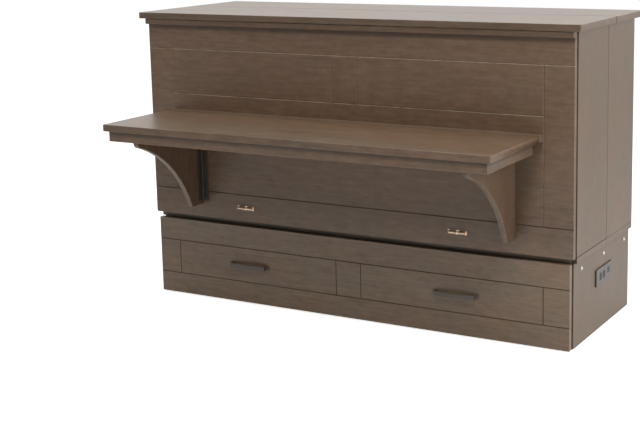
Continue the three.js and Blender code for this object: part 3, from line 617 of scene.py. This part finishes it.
def routed(sheet, across, upright, lit_from=9):
    """Routs lines into the face at low y. across holds (z, x0, x1) and upright (x, z0, z1). Above lit_from,
    the lines across get a painted highlight along their lower side and painted shade along their upper side;
    when lit_from is given, the uprights get a painted highlight along their left side. The rest of each line
    holds painted shade."""
    face_y = min(v.co.y for v in sheet.verts) + 0.0011
    joint_and_shade_layer = layer_of(sheet, "joint_and_shade")
    wear_and_highlight_layer = layer_of(sheet, "wear_and_highlight")
    half = groove_width / 2
    slack = 1e-5
    lines = [("z", "x", *line) for line in across] + [("x", "z", *line) for line in upright]
    for axis, _, at, *_ in lines:
        for step in (-half - 0.0005, -half, 0, half, half + 0.0005):
            sliced(sheet, axis, at + step)
    creased, deepest = set(), set()
    for vert in sheet.verts:
        if vert.co.y > face_y:
            continue
        lit = vert.co.z > lit_from
        for axis, other, at, start, stop in lines:
            off = vert.co[axes[axis]] - at
            if abs(off) > half + slack or not start - slack <= vert.co[axes[other]] <= stop + slack:
                continue
            creased.add(vert)
            if abs(off) < slack:
                deepest.add(vert)
            if axis == "z":
                rubbed = lit and off < slack
                vert[wear_and_highlight_layer] = 3.5 if rubbed else 0.0
                vert[joint_and_shade_layer] = 0.0 if rubbed else 2.0 if lit else 1.3
            elif lit_from < 9 and off < -slack and vert[joint_and_shade_layer] < 1:
                vert[wear_and_highlight_layer] = 2.0
            else:
                vert[joint_and_shade_layer] = max(vert[joint_and_shade_layer], 1.1 if lit else 1.3)
    for edge in sheet.edges:
        if edge.verts[0] in creased and edge.verts[1] in creased:
            edge.smooth = False
    for vert in deepest:
        vert.co.y += groove_depth
    return sheet


low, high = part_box("front_panel")
outline = [(low.y, low.z), (high.y, low.z), (high.y, high.z - notch_depth), (notch_y, high.z - notch_depth),
           (notch_y, high.z), (low.y, high.z)]
top_line = high.z - 0.111
bottom_line = low.z + 0.100
mid_line = low.z + 0.468
stile = 0.749
mid_stile = 0.051
sheet = routed(ease(drawn_out(outline, "x", low.x, high.x), 0.001),
               [(top_line, -1, 1), (bottom_line, -1, 1), (mid_line, -stile, stile)],
               [(-stile, bottom_line, top_line), (stile, bottom_line, top_line),
                (-mid_stile, mid_line, top_line), (mid_stile, mid_line, top_line)], lit_from=0.7)
# Below the cap rail the panel darkens: painted shade under the rail, with stain gathered at the joint.
darken_towards(sheet, "z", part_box("cap_rail")[0].z, 0.022, 0.9)


def under_desk_shade(place):
    """Painted shade under the desk: darker between the middle line and the bottom line, and a little paler
    below them.
    """
    if place.z > mid_line - 0.01:
        return 0.0
    return -0.09 if place.z > bottom_line - 0.01 else 0.03


show("front_panel_sheet", sheet, stained_wood, "front", "x", "front_panel", tone=under_desk_shade,
     warm=lambda place: 0.7 if place.z > mid_line - 0.01 else 0.1)
plank("cap_rail", "front", "x", 0.0015, tone=-0.11, warm=0.4)
plank("foot_panel", "front", "x", 0.0006, plywood)

# Long hinges: folded steel leaves with a row of knuckles round one pin, and countersunk screws. The
# deck's and the desk's are zinc plated, and the two brackets' are smaller and lacquered brown.
zinc = finish_from("zinc", metal, (0.15, 0.0002), {"Metallic": 1.0}, "steel",
                   Body=(0.40, 0.385, 0.36, 1), Rubbed=(0.62, 0.60, 0.57, 1), Dull=0.22)
brown_lacquer = finish_from("brown_lacquer", metal, (0.25, 0.0003), {"Metallic": 0.2, "Coat Weight": 0.1},
                            "steel", Body=(0.065, 0.048, 0.037, 1), Rubbed=(0.12, 0.09, 0.07, 1), Dull=0.3)
leaf_thickness = 0.0012
pin_radius = 0.0015
along_x = Matrix.Rotation(math.pi / 2, 4, "Y")


def hinge_leaf(node, body, pin, way, size, layout, finish=zinc, offset=None, odd=False):
    """The pin runs along local X from zero, the leaf lies along local Y, and its plate rises along Z.
    way holds those three axes, size (knuckle radius, width, length) and layout (knuckles, screws)."""
    radius, width, length = size
    knuckles, screws = layout
    clear = radius + 0.0005
    under = -radius if offset is None else offset
    over = under + leaf_thickness
    leaf = ease(block((0, clear, under), (length, width, over)), 0.0004)
    pitch = length / knuckles
    for i in range(1 if odd else 0, knuckles, 2):
        begin, end = i * pitch + 0.0003, (i + 1) * pitch - 0.0003
        run = end - begin
        turned(leaf, [(radius * 0.84, 0), (radius, radius * 0.16), (radius, run - radius * 0.16),
                      (radius * 0.84, run)], Matrix.Translation((begin, 0, 0)) @ along_x, 10, 2)
        strap = [(begin, 0, under), (end, 0, under), (end, 0, over), (begin, 0, over)]
        loft(leaf, [strap, [(x, clear + 0.0002, z) for x, _, z in strap]])
    if not odd:
        turned(leaf, [(pin_radius, 0), (pin_radius, length)], along_x, 8, 2)
    seat, out = (over, (0, 0, 1)) if offset is None else (under, (0, 0, -1))
    for i in range(screws):
        screw(leaf, (length * (i + 0.5) / screws, (clear + width) / 2 + 0.001, seat), out, 0.0028)
    matrix = Matrix.Translation(pin) @ Matrix(way).transposed().to_4x4()
    bmesh.ops.transform(leaf, matrix=matrix, verts=leaf.verts[:])
    show(node + "_knuckled", leaf, finish, body, "z" if length < 0.5 else "x", node, weight=50)


east, north, overhead = (1, 0, 0), (0, 1, 0), (0, 0, 1)
pin, size, layout = (-0.815, -0.0717, 0.3208), (0.0035, 0.025, 1.63), (64, 16)
hinge_leaf("deck_hinge_fixed", "cabinet", pin, (east, north, overhead), size, layout)
hinge_leaf("deck_hinge_moving", "front", pin, (east, overhead, north), size, layout, odd=True)
pin, size, layout = (-0.703, -0.1355, 0.702), (0.003, 0.018, 1.406), (56, 14)
hinge_leaf("desk_hinge_fixed", "front", pin, (east, north, overhead), size, layout, offset=0.0003)
hinge_leaf("desk_hinge_moving", "leaf", pin, (east, (0, -1, 0), overhead), size, layout, offset=0.0003,
           odd=True)
for word, side in sides.items():
    low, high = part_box("bracket_hinge_moving_" + word)
    pin = (side * 0.627, -0.0995, low.z)
    size = (0.0037, 0.025, high.z - low.z)
    hinge_leaf("bracket_hinge_fixed_" + word, "front", pin, (overhead, (-side, 0, 0), (0, -1, 0)), size,
               (12, 5), brown_lacquer)
    hinge_leaf("bracket_hinge_moving_" + word, "bracket_" + word, pin, (overhead, (0, -1, 0), (-side, 0, 0)),
               size, (12, 5), brown_lacquer, odd=True)

# The foot panel's hinge: two zinc-plated leaves folded face to face behind the front panel, below their
# barrel, whose knuckles stand in one row along the whole panel.
def joined(mesh, other):
    spare = bpy.data.meshes.new("spare")
    other.to_mesh(spare)
    other.free()
    mesh.from_mesh(spare)
    bpy.data.meshes.remove(spare)
    return mesh


low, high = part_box("foot_panel_hinge")
barrel_y, barrel_z, leaf_top = -0.0740, 1.0581, 1.0575
folded = joined(block((low.x, barrel_y - 0.0012, low.z), (high.x, barrel_y - 0.0001, leaf_top)),
                block((low.x, barrel_y + 0.0001, low.z), (high.x, barrel_y + 0.0012, leaf_top)))
ease(folded, 0.0003)
knuckle = (high.x - low.x) / 64
run = knuckle - 0.0006
for i in range(64):
    matrix = Matrix.Translation((low.x + i * knuckle + 0.0003, barrel_y, barrel_z)) @ along_x
    turned(folded, [(0.0027, 0), (0.0032, 0.0005), (0.0032, run - 0.0005), (0.0027, run)], matrix, 10, 2)
show("foot_panel_hinge_knuckled", folded, zinc, "front", "x", "foot_panel_hinge", weight=50)

# Desk: a ledger fixed to the panel and a leaf hinged to it, both rebated below for the hinge. The leaf
# has rounded edges and corners, an apron under three of its sides and felt pads over the brackets.
def rebated(low, high, hinge_y, far_y):
    """A board whose underside is cut back in two steps towards the hinge."""
    way = 1 if far_y > hinge_y else -1
    steps = ((0, 0.0035), (0.0031, 0.0035), (0.0031, 0.0018), (0.0181, 0.0018), (0.0181, 0))
    outline = [(hinge_y, high.z)] + [(hinge_y + way * run, low.z + rise) for run, rise in steps]
    return drawn_out(outline + [(far_y, low.z), (far_y, high.z)], "x", low.x, high.x)


low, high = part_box("desk_ledger")
ledger = ease(rebated(low, high, low.y, high.y), 0.0005)
board("desk_ledger", darken_towards(ledger, "y", low.y, 0.005), "front", "x", tone=0.07)
low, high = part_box("desk_leaf")
leaf = rebated(low, high, high.y, low.y)
corners = [e for e in leaf.edges if abs(e.verts[0].co.z - e.verts[1].co.z) > 0.01
           and e.verts[0].co.y < low.y + 0.001 and e.verts[1].co.y < low.y + 0.001]
ease(leaf, 0.006, 4, corners)
rims = [e for e in leaf.edges if abs(e.verts[0].co.z - e.verts[1].co.z) < 1e-5
        and min(abs(e.verts[0].co.z - level) for level in (low.z, high.z)) < 1e-4
        and e.calc_face_angle() > 0.5 and min(v.co.y for v in e.verts) < high.y - 0.02]
ease(leaf, 0.003, 3, rims, rubbed=0.35)


def leaf_warmth(place):
    """Warmest at the two ends, then the front edge, and coolest on the top."""
    if abs(place.x) > high.x - 0.002:
        return 0.8
    return 0.3 if place.y < low.y + 0.001 else -0.5


board("desk_leaf", darken_towards(leaf, "y", high.y, 0.005), "leaf", "x", warm=leaf_warmth,
      tone=lambda place: -0.1 if place.y < low.y + 0.001 else 0.0)
# Each apron darkens towards its top under the leaf's overhang, and its tone is lowered: painted shade.
for word, grain, shadow in (("front", "x", 1.5), ("left", "y", 2.6), ("right", "y", 2.6)):
    low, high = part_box("apron_" + word)
    board("apron_" + word, darken_towards(ease(block(low, high), 0.0015), "z", high.z, 0.015, shadow), "leaf", grain,
          tone=-0.05, warm=0.5)

pressed, given = group("pressed_felt", "Lay")
fibres = stretched(pressed, given["Lay"], 900, 1500, 900, Detail=4.0)
results(pressed, ramp(pressed, fibres, [(0.3, (0.030, 0.026, 0.022)), (0.7, (0.085, 0.074, 0.064))]),
        weighed(pressed, 0.85, (fibres, 0.1)), fibres)
felt = finish_from("felt", pressed, (0.8, 0.0006), {"Sheen Weight": 0.4})
for word in sides:
    plank("rest_pad_" + word, "leaf", "y", 0.0009, felt)

# Swing brackets: plates of the same stained wood with a concave front edge, rounded along both faces.
# Each swings on its own hinge under the ledger. The curved edge is painted paler and cooler than the faces,
# a painted highlight where it faces the front, and the faces are darker, painted shade under the desk.
heel_run = 0.067
nose_height = 0.055
curve_radius = 0.464
panel_face = -0.0955
for word in sides:
    low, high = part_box("bracket_" + word)
    heel = Vector((panel_face - heel_run, low.z))
    nose = Vector((low.y, high.z - nose_height))
    chord = nose - heel
    away = math.sqrt(curve_radius ** 2 - (chord.length / 2) ** 2)
    centre = (heel + nose) / 2 + Vector((-abs(chord.y), -abs(chord.x))).normalized() * away
    start = math.atan2(nose.y - centre.y, nose.x - centre.x)
    sweep = math.atan2(heel.y - centre.y, heel.x - centre.x) - start
    points = [(high.y, low.z), (high.y, high.z), (low.y, high.z)]
    points += arc(centre.x, centre.y, curve_radius, [start + sweep * i / 32 for i in range(33)])
    plate = drawn_out(points, "x", low.x, high.x)
    tips = [e for e in plate.edges if all((Vector((v.co.y, v.co.z)) - nose).length < 1e-5 for v in e.verts)]
    ease(plate, 0.014, 4, tips, rubbed=0)
    ease(plate, 0.002, rubbed=0.6)
    curved = [(Vector((v.co.y, v.co.z)) - centre).length < curve_radius + 0.001 for v in plate.verts]
    tone_layer = plate.verts.layers.float.new("tone")
    warm_layer = plate.verts.layers.float.new("warm")
    for vert, on_curve in zip(plate.verts, curved):
        vert[tone_layer] = 0.08 if on_curve else -0.08
        vert[warm_layer] = -1 if on_curve else 0.5
    darken_towards(plate, "y", high.y, 0.0015, 2.0)
    show("bracket_" + word + "_plate", plate, stained_wood, "bracket_" + word, "z", "bracket_" + word)

# Catches and strikes of polished brass: two sprung balls in short barrels on a plate with rounded
# corners, and a blade on the leaf's apron that enters between them when the leaf is folded down.
brass = finish_from("brass", metal, (0.1, 0.0002), {"Metallic": 1.0},
                    Body=(0.86, 0.66, 0.50, 1), Rubbed=(0.96, 0.88, 0.78, 1), Dull=0.10)
for word, side in sides.items():
    low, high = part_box("catch_" + word)
    centre_x = side * 0.436
    centre_z = (low.z + high.z) / 2
    catch = drawn_out([(centre_x + a, centre_z + b) for a, b in rounded(0.036, 0.008, 0.003)],
                      "y", high.y - 0.002, high.y)
    ease(catch, 0.0005)
    for end in (-1, 1):
        matrix = facing((centre_x + end * 0.007, high.y - 0.007, centre_z), (end, 0, 0))
        turned(catch, [(0.0050, 0), (0.0060, 0.0008), (0.0060, 0.0060), (0.0056, 0.0064),
                       (0.0060, 0.0068), (0.0060, 0.0228), (0.0052, 0.0240)], matrix, 20, 2)
        turned(catch, [(0.0041, -0.0006), (0.0036, -0.0020), (0.0025, -0.0032), (0.0009, -0.0040)],
               matrix, 16, 1)
        screw(catch, (centre_x + end * 0.0334, high.y - 0.002, centre_z), (0, -1, 0), 0.0019)
    show("catch_" + word + "_pair", catch, brass, "front", "x", "catch_" + word, weight=50)
    low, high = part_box("strike_" + word)
    strike = drawn_out([(centre_x + a, (low.z + high.z) / 2 + b) for a, b in rounded(0.008, 0.014, 0.002)],
                       "y", low.y, low.y + 0.002)
    blade = block((centre_x - 0.0015, low.y + 0.001, low.z), (centre_x + 0.0015, high.y, low.z + 0.012))
    strike = joined(ease(strike, 0.0004), ease(blade, 0.0006))
    screw(strike, (centre_x, low.y + 0.002, low.z + 0.020), (0, 1, 0), 0.0024)
    show("strike_" + word + "_blade", strike, brass, "leaf", "z", "strike_" + word, weight=50)

# Drawer: a routed front of the same sheet as the front panel, before a plywood box whose sides have
# two rounded ears each for the stub axles.
low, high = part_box("drawer_front")
bottom_line = low.z + 0.079
top_line = high.z - 0.084
sheet = routed(ease(block(low, high), 0.001),
               [(bottom_line, -1, 1), (top_line, -1, 1)],
               [(-stile, bottom_line, top_line), (stile, bottom_line, top_line),
                (-mid_stile, bottom_line, top_line), (mid_stile, bottom_line, top_line)])
# The drawer front's tone is raised: painted light for the bounce from the floor.
show("drawer_front_sheet", sheet, stained_wood, "drawer", "x", "drawer_front", tone=0.13)
plank("drawer_back", "drawer", "x", 0.0006, plywood)
plank("drawer_bottom", "drawer", "x", 0.0006, plywood)
wheel_rows = {"front": -0.0055, "rear": 0.3755}
axle_z = 0.025
ear_z = 0.060
ear_radius = 0.014
for word, side in sides.items():
    low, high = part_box("drawer_side_" + word)
    points = [(low.y, ear_z)]
    for y in wheel_rows.values():
        points += [(y - 2 * ear_radius, ear_z), (y - ear_radius, axle_z)]
        points += arc(y, axle_z, ear_radius, [math.pi * (1 + i / 12) for i in range(1, 12)])
        points += [(y + ear_radius, axle_z), (y + 2 * ear_radius, ear_z)]
    points += [(high.y, ear_z), (high.y, high.z), (low.y, high.z)]
    inner, outer = sorted((side * 0.757, side * 0.772))
    board("drawer_side_" + word, ease(drawn_out(points, "x", inner, outer), 0.0008), "drawer", "y", plywood)
    for row, y in wheel_rows.items():
        matrix = facing((side * 0.7567, y, axle_z), (-side, 0, 0))
        stub = turned(bmesh.new(), [(0.0050, -0.003), (0.0050, 0.0215), (0.0080, 0.0216), (0.0080, 0.0230),
                                    (0.0070, 0.0235), (0.0030, 0.0235), (0.0022, 0.0228)], matrix, 20, 2)
        show("axle_" + row + "_" + word, stub, steel, "drawer", "x", weight=50)

# Wheels: a nylon hub with six ribs on each face, inside a rounded tread of dark rubber. Each runs on one
# of the drawer's stub axles.
nylon = finish_from("nylon", plastic, (0.1, 0.0002), slot="wheel_tread",
                    Body=(0.42, 0.41, 0.39, 1), Rubbed=(0.55, 0.54, 0.52, 1))
rubber = finish_from("rubber", plastic, (0.5, 0.0003), slot="wheel_tread",
                     Body=(0.028, 0.027, 0.026, 1), Rubbed=(0.10, 0.095, 0.09, 1))
tread_half = [(0.0185, -0.0088), (0.0210, -0.0100), (0.0232, -0.0092), (0.0245, -0.0070),
              (0.0250, -0.0035)]
hub_half = [(0.0056, -0.0098), (0.0085, -0.0098), (0.0090, -0.0092), (0.0092, -0.0030),
            (0.0165, -0.0030), (0.0168, -0.0088), (0.0186, -0.0090)]


def both_halves(half):
    """A closed profile from the half below zero."""
    return half + [(radius, -height) for radius, height in reversed(half)] + half[:1]


for word, body in (("front_left", "wheel_fl"), ("front_right", "wheel_fr"), ("rear_left", "wheel_rl"),
                   ("rear_right", "wheel_rr")):
    low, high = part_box("wheel_" + word)
    matrix = facing((low + high) / 2, (1, 0, 0))
    tread = turned(bmesh.new(), both_halves(tread_half), matrix, 48)
    show("tread_" + word, tread, rubber, body, "x", "wheel_" + word, weight=50)
    hub = turned(bmesh.new(), both_halves(hub_half), matrix, 48)
    for i in range(6):
        for face_way in (-1, 1):
            rib = bmesh.ops.create_cube(hub, size=1.0)
            shape = Matrix.Diagonal((0.0078, 0.0016, 0.0050, 1))
            place = Matrix.Rotation(math.pi / 3 * i, 4, "Z") @ Matrix.Translation(
                (0.0128, 0, face_way * 0.0055))
            bmesh.ops.transform(hub, matrix=matrix @ place @ shape, verts=rib["verts"])
    show("hub_" + word, hub, nylon, body, "x", weight=50)

# Pulls: a dark bronze strap bent to two square feet, with a bowed grip and edges lightened as wear and a
# painted highlight. One screw holds each foot.
bronze = finish_from("dark_bronze", metal, (0.25, 0.0003), {"Metallic": 0.45, "Coat Weight": 0.1},
                     Body=(0.125, 0.108, 0.096, 1), Rubbed=(0.30, 0.24, 0.19, 1), Dull=0.24)
foot_end, riser, strap = 0.087, 0.071, 0.004


def bowed(t, rest, middle):
    """Goes from a rest level halfway to the middle one and back."""
    return (1 - t) ** 2 * rest + 2 * t * (1 - t) * middle + t ** 2 * rest


for word, side in sides.items():
    low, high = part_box("pull_" + word)
    centre_x = side * 0.427
    back = high.y
    reach = back - 0.020
    bow = back - 0.036
    shares = [i / 24 for i in range(25)]
    outer = [(centre_x + (riser + strap) * (2 * t - 1), bowed(t, reach, bow)) for t in shares]
    inner = [(centre_x + riser * (1 - 2 * t), bowed(t, reach + strap, bow + strap)) for t in shares]
    points = [(centre_x - foot_end, back), (centre_x - foot_end, back - strap),
              (centre_x - riser - strap, back - strap)] + outer
    points += [(centre_x + riser + strap, back - strap), (centre_x + foot_end, back - strap),
               (centre_x + foot_end, back), (centre_x + riser, back)] + inner + [(centre_x - riser, back)]
    grip = ease(drawn_out(points, "z", low.z, high.z), 0.0010)
    for foot in (-1, 1):
        screw(grip, (centre_x + foot * 0.0795, back - strap, (low.z + high.z) / 2), (0, -1, 0), 0.0030)
    show("pull_" + word + "_strap", grip, bronze, "drawer", "x", "pull_" + word, weight=50)

# Mattress: three foam sections in a quilted, woven cover with piped edges, folded to stand on the deck.
# Cloth under an inside pressure swells one section, and all three are made from it.
woven, given = group("woven_ticking", "Lay", "Joint_and_shade")
weave = add(woven, "ShaderNodeSeparateXYZ", {0: given["Lay"]}).outputs
warp = maths(woven, "SINE", maths(woven, "MULTIPLY", weave["X"], 3600), 0)
weft = maths(woven, "SINE", maths(woven, "MULTIPLY", weave["Y"], 3600), 0)
slub = stretched(woven, given["Lay"], 12, 300, Detail=3.0)
wave = maths(woven, "SINE", maths(woven, "MULTIPLY", weave["X"], 150), 0)
stripe = maths(woven, "GREATER_THAN", wave, 0.93)
cream = ramp(woven, slub, [(0.3, (0.62, 0.59, 0.53)), (0.7, (0.76, 0.73, 0.67))])
lined = mixed(woven, maths(woven, "MULTIPLY", stripe, 0.5), cream, (0.36, 0.37, 0.40, 1))
stitched = mixed(woven, maths(woven, "MULTIPLY", given["Joint_and_shade"], 0.35), lined, (0.30, 0.28, 0.25, 1))
results(woven, stitched, weighed(woven, 0.8, (slub, 0.1)), maths(woven, "MULTIPLY", warp, weft))
ticking = finish_from("ticking", woven, (0.5, 0.0004), {"Sheen Weight": 0.3}, "mattress_cover")

low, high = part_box("mattress")
thickness = 0.152
gap = 0.002
half = Vector(((high.x - low.x) / 2, thickness / 2, (high.z - low.z) / 2))
slack = Vector((0.006, 0.010, 0.006))
core = bmesh.new()
bmesh.ops.create_cube(core, size=1.0)
for vert in core.verts:
    vert.co = [math.copysign(half[i] - slack[i], vert.co[i]) for i in range(3)]
bmesh.ops.bevel(core, geom=core.edges[:], offset=0.018, offset_type="OFFSET", segments=4, profile=0.5,
                affect="EDGES", material=-1)
blank = placed("mattress_core", core)
remesh = blank.modifiers.new("cells", "REMESH")
remesh.mode = "VOXEL"
remesh.voxel_size = 0.016


def shaped(piece):
    """The mesh of a piece with its modifiers at work."""
    return bpy.data.meshes.new_from_object(piece.evaluated_get(bpy.context.evaluated_depsgraph_get()))


cells = shaped(blank)
blank.modifiers.clear()
blank.data = cells
filled = bmesh.new()
filled.from_mesh(cells)
held = blank.vertex_groups.new(name="held")
for vert in cells.vertices:
    if sum(abs(vert.co[i]) > half[i] - slack[i] - 0.026 for i in range(3)) > 1:
        held.add([vert.index], 1.0, "REPLACE")
cloth = blank.modifiers.new("swell", "CLOTH")
cloth.settings.use_pressure = True
cloth.settings.uniform_pressure_force = 4
cloth.settings.effector_weights.gravity = 0
cloth.settings.vertex_group_mass = "held"
cloth.settings.quality = 5
for moment in range(1, 21):
    scene.frame_set(moment)
    bpy.context.view_layer.update()
swollen = shaped(blank)
filled.verts.ensure_lookup_table()
travel = [end.co - start.co for start, end in zip(filled.verts, swollen.vertices)]
share = min(1.0, 0.011 / max(1e-6, max(step.length for step in travel)))
for vert, step in zip(filled.verts, travel):
    vert.co += step * share
blank.modifiers.clear()
scene.frame_set(1)
bpy.data.objects.remove(blank)
bmesh.ops.smooth_vert(filled, verts=filled.verts[:], factor=0.5, use_axis_x=True, use_axis_y=True,
                      use_axis_z=True)
for vert in filled.verts:
    for i in range(3):
        vert.co[i] = max(-half[i], min(half[i], vert.co[i]))
bmesh.ops.subdivide_edges(filled, edges=filled.edges[:], cuts=1, use_grid_fill=True)
quilt_pitch = 0.128
joint_and_shade_layer = layer_of(filled, "joint_and_shade")
for vert in filled.verts:
    x, y, z = vert.co
    face_share = max(0.0, min(1.0, (abs(y) - half.y + 0.030) / 0.015))
    rim = min((half.x - abs(x)) / 0.06, (half.z - abs(z)) / 0.06, 1.0)
    if face_share > 0 and rim > 0:
        one = abs(((x + z) / quilt_pitch) % 1 - 0.5) * 2
        two = abs(((x - z) / quilt_pitch) % 1 - 0.5) * 2
        valley = max(0.0, 1 - (1 - max(one, two)) / 0.28)
        vert.co.y -= math.copysign(0.005 * valley ** 2 * face_share * rim, y)
        vert[joint_and_shade_layer] = valley ** 4 * face_share * rim
filled_mesh = bpy.data.meshes.new("filled")
filled.to_mesh(filled_mesh)
filled.free()
middle_x = (low.x + high.x) / 2
middle_z = (low.z + high.z) / 2
path = rounded(half.x - 0.012, half.z - 0.012, 0.022, 8)
piping_radius = 0.003
for number in range(3):
    section = bmesh.new()
    section.from_mesh(filled_mesh)
    shift = Vector((middle_x, low.y + half.y + number * (thickness + gap), middle_z))
    bmesh.ops.translate(section, vec=shift, verts=section.verts[:])
    stands_for = ("mattress",) if number == 0 else ()
    cover = show("mattress_section_" + str(number + 1), section, ticking, "cabinet", "x", *stands_for,
                 weight=0)
    piping = bmesh.new()
    for face_way in (-1, 1):
        rings = []
        for i in range(len(path) + 1):
            before, here, after = [Vector(path[(i + step) % len(path)]) for step in (-1, 0, 1)]
            along = (after - before).normalized()
            ring = []
            for j in range(8):
                out = piping_radius * math.cos(math.pi / 4 * j)
                rise = face_way * (half.y - 0.0035) + piping_radius * math.sin(math.pi / 4 * j)
                ring.append(shift + Vector((here.x + along.y * out, rise, here.y - along.x * out)))
            rings.append(ring)
        loft(piping, rings)
    bmesh.ops.remove_doubles(piping, verts=piping.verts[:], dist=1e-5)
    show("mattress_piping_" + str(number + 1), piping, ticking, "cabinet", "x", weight=50)
